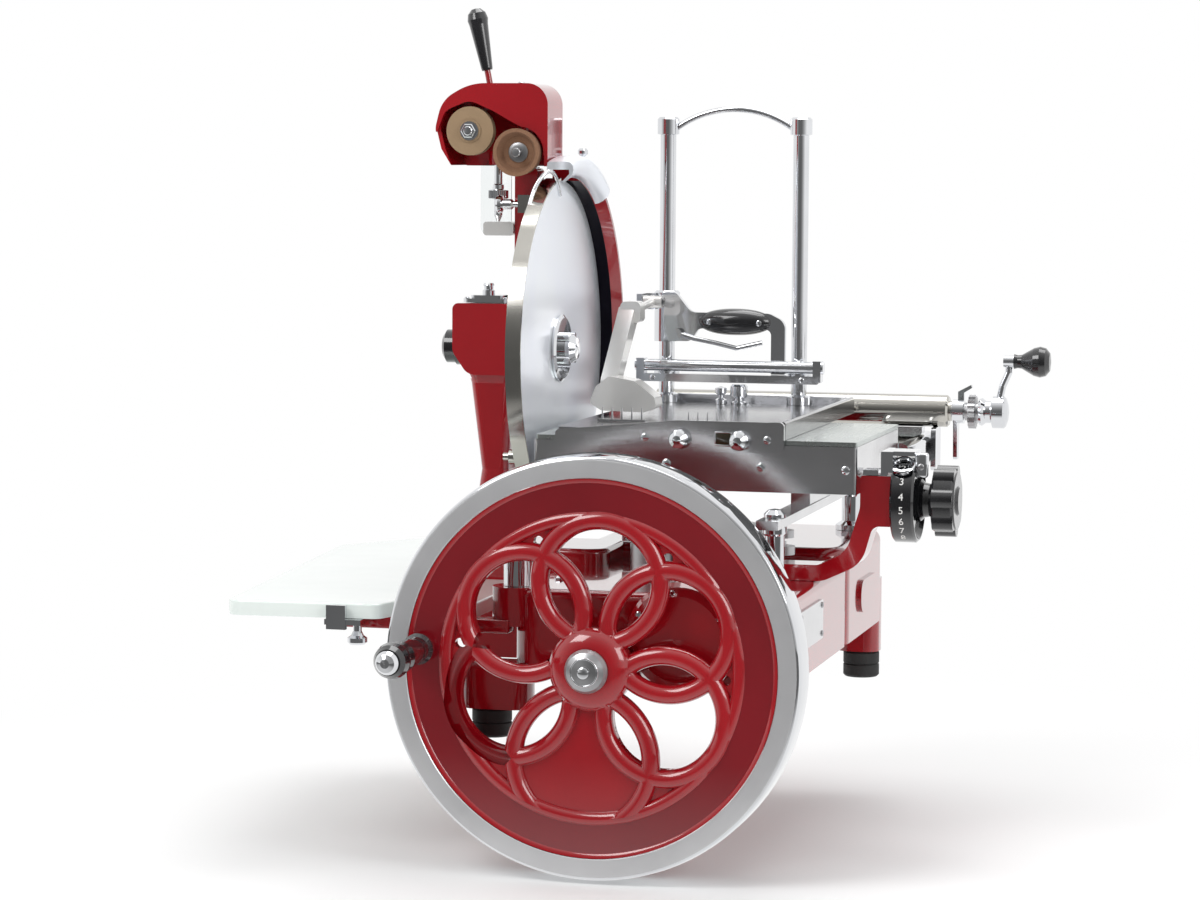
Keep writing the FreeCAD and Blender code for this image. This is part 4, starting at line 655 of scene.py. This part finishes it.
def all_screws():
    """Small heads that hold the covers, apron, carriage, lid, hood and bars."""
    screws("side_plate_screws", [(149.5, y, z) for y in (-198, -101) for z in (87, 113)],
           TO_RIGHT, "base", 2.6, 1.2, 0.7, slot="bare_steel")
    screws("apron_screws", [(-11, -131.2, 265), (103, -131.2, 265)], TO_FRONT, "table",
           3.6, 1.6)
    screws("carriage_screws", [(8, -125.2, 241), (96, -125.2, 240), (174, -125.2, 239)],
           TO_FRONT, "carriage", 4.0, 1.8)
    screws("drive_cover_screws", [(52 + 42 * math.cos(a), -261.5, 98 + 42 * math.sin(a))
                                  for a in (0.5, 1.7, 2.6)], TO_FRONT, "base", 2.6, 1.4)
    screws("gearbox_lid_screws", [(-175.5, -21, 384.2), (-213.5, 21, 384.2),
                                  (-175.5, 21, 384.2), (-213.5, -21, 384.2)],
           TO_TOP, "base", 2.4, 1.2)
    screws("hood_top_screw", [(-163, -12, 588.1)], TO_TOP, "head", 3.4, 1.8)
    screws("bar_end_screws", [(-80, 181.8, 299), (72, 181.8, 299)], TO_FRONT, "press",
           2.8, 1.4)
    screws("deck_bolts", [(122, -20, 135.3), (-84, -160, 135.3)], TO_TOP, "base",
           4.2, 2.6, 0.01, 6)


# ---------------------------------------------------------------- sharpener
def pin_cap(bm, origin, length):
    """Bright domed end over the pin that carries a stone."""
    turn_profile(bm, [(4.06, 0.9), (4.4, 0.9), (4.4, length - 0.8), (3.6, length),
                      (0, length + 0.4), (0, length), (3.2, length - 0.4),
                      (4.06, length - 1)], origin, TO_FRONT, 32, closed=True)


def stone_nuts():
    """Hex nut on the flat stone, washer and screw in the cup stone."""
    at = (FLAT_X, FLAT_FACE, FLAT_Z)
    bm = bmesh.new()
    turn_profile(bm, [(4.4, 0), (9, 0), (9, 1), (4.4, 1)], at, TO_FRONT, 32, closed=True)
    turn_profile(bm, [(4.4, 1), (7.4, 1), (7.4, 4.6), (6.4, 5.4), (4.4, 5.4)], at,
                 TO_FRONT, 6, closed=True)
    pin_cap(bm, at, 6.4)
    to_piece("flat_stone_nut", mesh_from("flat_stone_nut", bm), "flat", "bright_chrome")
    at = (CUP_X, CUP_FACE, CUP_Z)
    bm = bmesh.new()
    turn_profile(bm, [(4.4, 0), (9.5, 0), (9.5, 1.2), (8.6, 1.8), (4.4, 1.8)], at,
                 TO_FRONT, 32, closed=True)
    pin_cap(bm, at, 10.3)
    to_piece("cup_stone_washer", mesh_from("cup_stone_washer", bm), "cup", "bare_steel")


def clear_shield():
    """Clear sheet that hangs behind the adjusting screw, with a rounded corner."""
    corner_x, corner_z, corner_r = -200, 452, 8.5
    outline = [(-178, 443.5), (-178, 511), (-208.5, 511), (-208.5, 452)]
    outline += [(corner_x - corner_r * math.cos(a), corner_z - corner_r * math.sin(a))
                for a in (math.radians(15 * step) for step in range(1, 7))]
    bm = bmesh.new()
    sides = [[bm.verts.new((x, y, z)) for x, z in outline] for y in (7.5, 9.3)]
    for side in sides:
        bm.faces.new(side)
    join_rings(bm, *sides)
    to_piece("clear_shield", mesh_from("clear_shield", bm), "head", "white_glass", CLEAR)


def rounded_outline(corners):
    """Closed (x, z) outline with an arc of the given radius at each corner."""
    spots, count, steps = [], len(corners), 12
    for index, (x, z, radius) in enumerate(corners):
        here = Vector((x, z))
        before = (Vector(corners[index - 1][:2]) - here).normalized()
        after = (Vector(corners[(index + 1) % count][:2]) - here).normalized()
        half = before.angle(after) / 2
        middle = here + (before + after).normalized() * (radius / math.sin(half))
        start = here + before * (radius / math.tan(half)) - middle
        finish = here + after * (radius / math.tan(half)) - middle
        for step in range(steps + 1):
            spots.append(middle + start.lerp(finish, step / steps).normalized() * radius)
    return spots


def rounded_hood():
    """The hood with smooth corners and a rounded back edge; the front stays crisp."""
    outline = rounded_outline([(-226, 510, 3), (-236, 526, 8), (-240.7, 545, 18),
                               (-234, 572, 30), (-206, 587.96, 55),
                               (-130.04, 587.96, 20.5), (-130.04, 510, 1)])
    inward = []                                   # the outline runs clockwise
    for index in range(len(outline)):
        along = outline[(index + 1) % len(outline)] - outline[index - 1]
        inward.append(Vector((along.y, -along.x)).normalized())
    soft, front, back, straight = 4.5, -46.96, 20.96, 0.4
    levels = [(front, 0), (back - soft - straight, 0)]
    for step in range(6, -1, -1):
        a = math.radians(15 * step)
        levels.append((back - soft * (1 - math.cos(a)), soft * (1 - math.sin(a))))

    def envelope(bm):
        rings = [[bm.verts.new((spot.x + way.x * inset, y, spot.y + way.y * inset))
                  for spot, way in zip(outline, inward)] for y, inset in levels]
        for near, far in zip(rings, rings[1:]):
            join_rings(bm, near, far)
        bm.faces.new(rings[0])
        bm.faces.new(rings[-1])

    def walls(bm):
        bm.from_mesh(nodes["sharpener_hood"].data)
        bmesh.ops.scale(bm, vec=(1 / MM,) * 3, verts=bm.verts)

    mesh = combine(solid("hood_walls", walls),
                   [("INTERSECT", solid("hood_round", envelope))])
    if mesh.attributes.get("custom_normal"):      # made for the square edges
        mesh.attributes.remove(mesh.attributes["custom_normal"])
    to_piece("hood_shell", mesh, "head", "red_enamel", replaced=("sharpener_hood",),
             crisp=32)


# ---------------------------------------------------------------- dial
def dial_figures():
    """Plain numbers round the drum, wrapped onto its curve."""
    for figure, place in zip("12345678", FIGURE_TURNS):
        curve = bpy.data.curves.new("figure_" + figure, "FONT")
        curve.body = figure
        curve.size = FIGURE_SIZE
        curve.align_x = "CENTER"
        curve.align_y = "CENTER"
        curve.extrude = FIGURE_DEPTH
        mesh = evaluated_mesh(in_scene(bpy.data.objects.new("figure_work", curve)))
        angle = math.radians(place)
        for vertex in mesh.vertices:
            flat = vertex.co.copy()
            around = angle - flat.y / DIAL_R
            reach = DIAL_R + FIGURE_LIFT + flat.z
            vertex.co = Vector((DIAL_X + flat.x, DIAL_Y + reach * math.cos(around),
                                DIAL_Z + reach * math.sin(around))) * MM
        to_piece("dial_figure_" + figure, mesh, "dial", "black_enamel", WHITE_PAINT)


def bars(bm, boxes, bevel):
    """Bevelled bars from (low corner, high corner) pairs."""
    for low, high in boxes:
        made = bmesh.ops.create_cube(bm, size=1)["verts"]
        bmesh.ops.scale(bm, vec=[b - a for a, b in zip(low, high)], verts=made)
        bmesh.ops.translate(bm, vec=[(a + b) / 2 for a, b in zip(low, high)], verts=made)
        edges = list({edge for vertex in made for edge in vertex.link_edges})
        bmesh.ops.bevel(bm, geom=edges, offset=bevel, segments=3, profile=0.5,
                        affect="EDGES")


def bar_piece(name, boxes, bevel, body, slot, material=None, replaced=()):
    """A piece made only of bevelled bars."""
    bm = bmesh.new()
    bars(bm, boxes, bevel)
    to_piece(name, mesh_from(name, bm), body, slot, material, replaced)


def dial_bracket():
    """Bright bracket with a slotted screw beside the dial's ring."""
    bar_piece("dial_bracket", [((234.5, -113, 233), (246.5, -103, 255.5))], 2.4, "base",
              "bright_chrome")
    screws("dial_bracket_screw", [(240.5, -113.2, 243)], TO_FRONT, "base", 3.0, 1.4, 0.8,
           slot="bare_steel")


# ---------------------------------------------------------------- guard, press and trim
def guard_cap():
    """Bright cap over the top of the guard, down both of its faces."""
    section = [(162.3, -116.6), (163.2, -112.5), (166, -108.5), (170.5, -104.8),
               (175, -103.3), (179, -103.6), (182, -106), (183, -109.5), (183, -126),
               (182, -128.2), (178, -129), (175.3, -129), (175.3, -107.7),
               (171.1, -107.7)]                   # radius from the blade axis, and x
    steps, rings = 40, []
    bm = bmesh.new()
    for step in range(steps + 1):
        angle = math.radians(CAP_FROM + (CAP_TO - CAP_FROM) * step / steps)
        rings.append([bm.verts.new((x, radius * math.cos(angle),
                                    BLADE_Z + radius * math.sin(angle)))
                      for radius, x in section])
    for near, far in zip(rings, rings[1:]):
        join_rings(bm, near, far)
    bm.faces.new(rings[0])
    bm.faces.new(rings[-1])
    # The cap uses the blade's steel, whose near-white diffuse part is painted sheen.
    to_piece("guard_cap_cover", mesh_from("guard_cap_cover", bm), "base",
             "bright_chrome", STEEL_WITH_PAINTED_SHEEN, ("guard_top_cap",), 40)


def blade_hook():
    """Curled bright finger from the deflector over the blade's top edge."""
    points = ((-134, -86, 474), (-132.5, -82, 484), (-129, -79, 494),
              (-123, -74, 503.5), (-119, -68, 506.5), (-118, -56, 503),
              (-119, -40, 495), (-121, -25, 483))
    curve = bpy.data.curves.new("blade_hook_path", "CURVE")
    curve.dimensions = "3D"
    curve.bevel_depth = 1.9
    curve.bevel_resolution = 4
    curve.use_fill_caps = True
    spline = curve.splines.new("NURBS")
    spline.points.add(len(points) - 1)
    for point, spot in zip(spline.points, points):
        point.co = (*spot, 1)
    spline.order_u = 3
    spline.use_endpoint_u = True
    spline.resolution_u = 10
    mesh = evaluated_mesh(in_scene(bpy.data.objects.new("blade_hook_work", curve)))
    mesh.transform(Matrix.Scale(MM, 4))
    to_piece("blade_hook", mesh, "base", "bright_chrome")


def press_handle():
    """Full oval grip with two bright rivets."""
    half, thick, fullness, count = 38.5, 13.4, 2.3, 26
    profile = [(0, -half)]
    for step in range(1, count):
        along = -math.cos(math.pi * step / count)
        profile.append((thick * math.sqrt(1 - abs(along) ** fullness), along * half))
    profile.append((0, half))
    bm = bmesh.new()
    turn_profile(bm, profile, (1, 200, 355), TO_RIGHT, 40)
    to_piece("press_grip_body", mesh_from("press_grip_body", bm), "press", "black_grip",
             replaced=("press_grip",))
    screws("press_grip_rivets", [(-23.5, 189.9, 355), (26.5, 189.9, 354.4)], TO_FRONT,
           "press", 3.0, 1.2, 0.5)


def apron_window():
    """Small dark window in the apron, inside a bright frame."""
    bar_piece("apron_window", [((55.2, -131.5, 259.6), (69.6, -130.9, 270.6))], 0.2,
              "table", "black_enamel", WINDOW)
    bar_piece("apron_window_frame", [((54.2, -131.9, 270.4), (70.6, -130.9, 271.6)),
                                     ((54.2, -131.9, 258.6), (70.6, -130.9, 259.8)),
                                     ((54.2, -131.9, 259.6), (55.4, -130.9, 270.6)),
                                     ((69.4, -131.9, 259.6), (70.6, -130.9, 270.6))],
              0.25, "table", "bright_chrome")


def plate_bars():
    """Bars under the receiving plate, which stop at the clip."""
    top = 106.2
    bar_piece("plate_bars", [((-268, -238, top - 12), (-109.4, -216, top)),
                             ((-330, 120, top - 12), (-212.3, 144, top)),
                             ((-268, -218, top - 10), (-252, 122, top - 1))],
              1.6, "base", "red_enamel", replaced=("plate_arm",))


# ---------------------------------------------------------------- light and floor
def front_shade(tree, value, near, far):
    """Brightness of the backdrop: full behind the part, dim on the operator's side."""
    remap = tree.nodes.new("ShaderNodeMapRange")
    for label, number in (("From Min", far), ("From Max", near), ("To Min", DIM_SHADE),
                          ("To Max", 1.0)):
        remap.inputs[label].default_value = number
    tree.links.new(value, remap.inputs["Value"])
    return remap.outputs["Result"]


def seen_white(tree, shade):
    """Strength of the backdrop, white to the camera; and the rays that see it."""
    path = tree.nodes.new("ShaderNodeLightPath").outputs
    strength = maths(tree, "MAXIMUM", path["Is Camera Ray"], shade)
    rays = maths(tree, "MAXIMUM", path["Is Camera Ray"], path["Is Glossy Ray"])
    return strength, maths(tree, "MAXIMUM", rays, path["Is Transmission Ray"])


def fade_floor(pale):
    """Away from the part, the floor goes over to the plain white backdrop."""
    tree, link = pale.tree, pale.link
    reach = pale.add("VectorMath", operation="LENGTH")
    link(pale.place, reach.inputs[0])
    fade = pale.add("MapRange")
    for label, distance in zip(("From Min", "From Max"), FLOOR_FADE):
        fade.inputs[label].default_value = distance
    link(reach.outputs["Value"], fade.inputs["Value"])
    apart = pale.add("SeparateXYZ")
    link(pale.place, apart.inputs[0])
    strength, rays = seen_white(tree, front_shade(tree, apart.outputs["Y"], *FLOOR_SHADE))
    glow, mix = pale.add("Emission"), pale.add("MixShader")
    glow.inputs["Color"].default_value = (1, 1, 1, 1)
    link(strength, glow.inputs["Strength"])
    glossy = pale.add("LightPath").outputs["Is Glossy Ray"]
    cover = maths(tree, "MAXIMUM", fade.outputs["Result"], glossy)
    link(maths(tree, "MULTIPLY", cover, rays), mix.inputs[0])
    link(pale.shader.outputs[0], mix.inputs[1])
    link(glow.outputs[0], mix.inputs[2])
    link(mix.outputs[0], tree.nodes["Material Output"].inputs["Surface"])


def pale_floor():
    """Wide floor that keeps the shadow under the part."""
    bm = bmesh.new()
    bmesh.ops.create_grid(bm, x_segments=4, y_segments=4, size=FLOOR_HALF)
    bmesh.ops.translate(bm, vec=(0, 0, FLOOR_Z), verts=bm.verts)
    mesh = mesh_from("floor", bm)
    pale = Finish("pale_floor", Roughness=0.75)
    pale.colour(pale.ramp(pale.noise(2), (0.90, 0.90, 0.90), (0.92, 0.92, 0.92)))
    fade_floor(pale)
    mesh.materials.append(pale.material)
    in_scene(bpy.data.objects.new("floor", mesh))


def studio_world():
    """Soft light all round, behind a backdrop that only the eye and gloss see."""
    world = bpy.data.worlds.new("studio")
    bpy.context.scene.world = world
    world.use_nodes = True
    tree = world.node_tree
    add, link = tree.nodes.new, tree.links.new
    tree.nodes.clear()
    out, mix = add("ShaderNodeOutputWorld"), add("ShaderNodeMixShader")
    lit, seen = add("ShaderNodeBackground"), add("ShaderNodeBackground")
    for background in (lit, seen):
        background.inputs["Color"].default_value = (1, 1, 1, 1)
    lit.inputs["Strength"].default_value = WORLD_STRENGTH
    coords, apart = add("ShaderNodeTexCoord"), add("ShaderNodeSeparateXYZ")
    link(coords.outputs["Generated"], apart.inputs[0])
    strength, rays = seen_white(tree, front_shade(tree, apart.outputs["Y"], *WORLD_SHADE))
    link(strength, seen.inputs["Strength"])
    link(rays, mix.inputs[0])
    link(lit.outputs[0], mix.inputs[1])
    link(seen.outputs[0], mix.inputs[2])
    link(mix.outputs[0], out.inputs["Surface"])


def lamps():
    """Broad soft lamps, all aimed at the middle of the part."""
    for name, place, size, power in LAMPS:
        lamp = bpy.data.lights.new(name, "AREA")
        lamp.size, lamp.energy = size, power
        holder = in_scene(bpy.data.objects.new(name, lamp))
        holder.location = place
        aim = AIM - Vector(place)
        holder.rotation_euler = aim.to_track_quat("-Z", "Y").to_euler()


place_camera()
pale_floor()
studio_world()
lamps()
bpy.context.scene.view_settings.view_transform = "Standard"
finish_cad_nodes()
wheel_casting()
wheel_rim()
hub_details()
all_screws()
stone_nuts()
knurl("adjusting_nut_knurl", (-187, -6, 483), TO_TOP, "adjuster", 8.9, 0.8, 7.4, 30)
dial_figures()
guard_cap()
blade_hook()
press_handle()
apron_window()
clear_shield()
dial_bracket()
plate_bars()
rounded_hood()
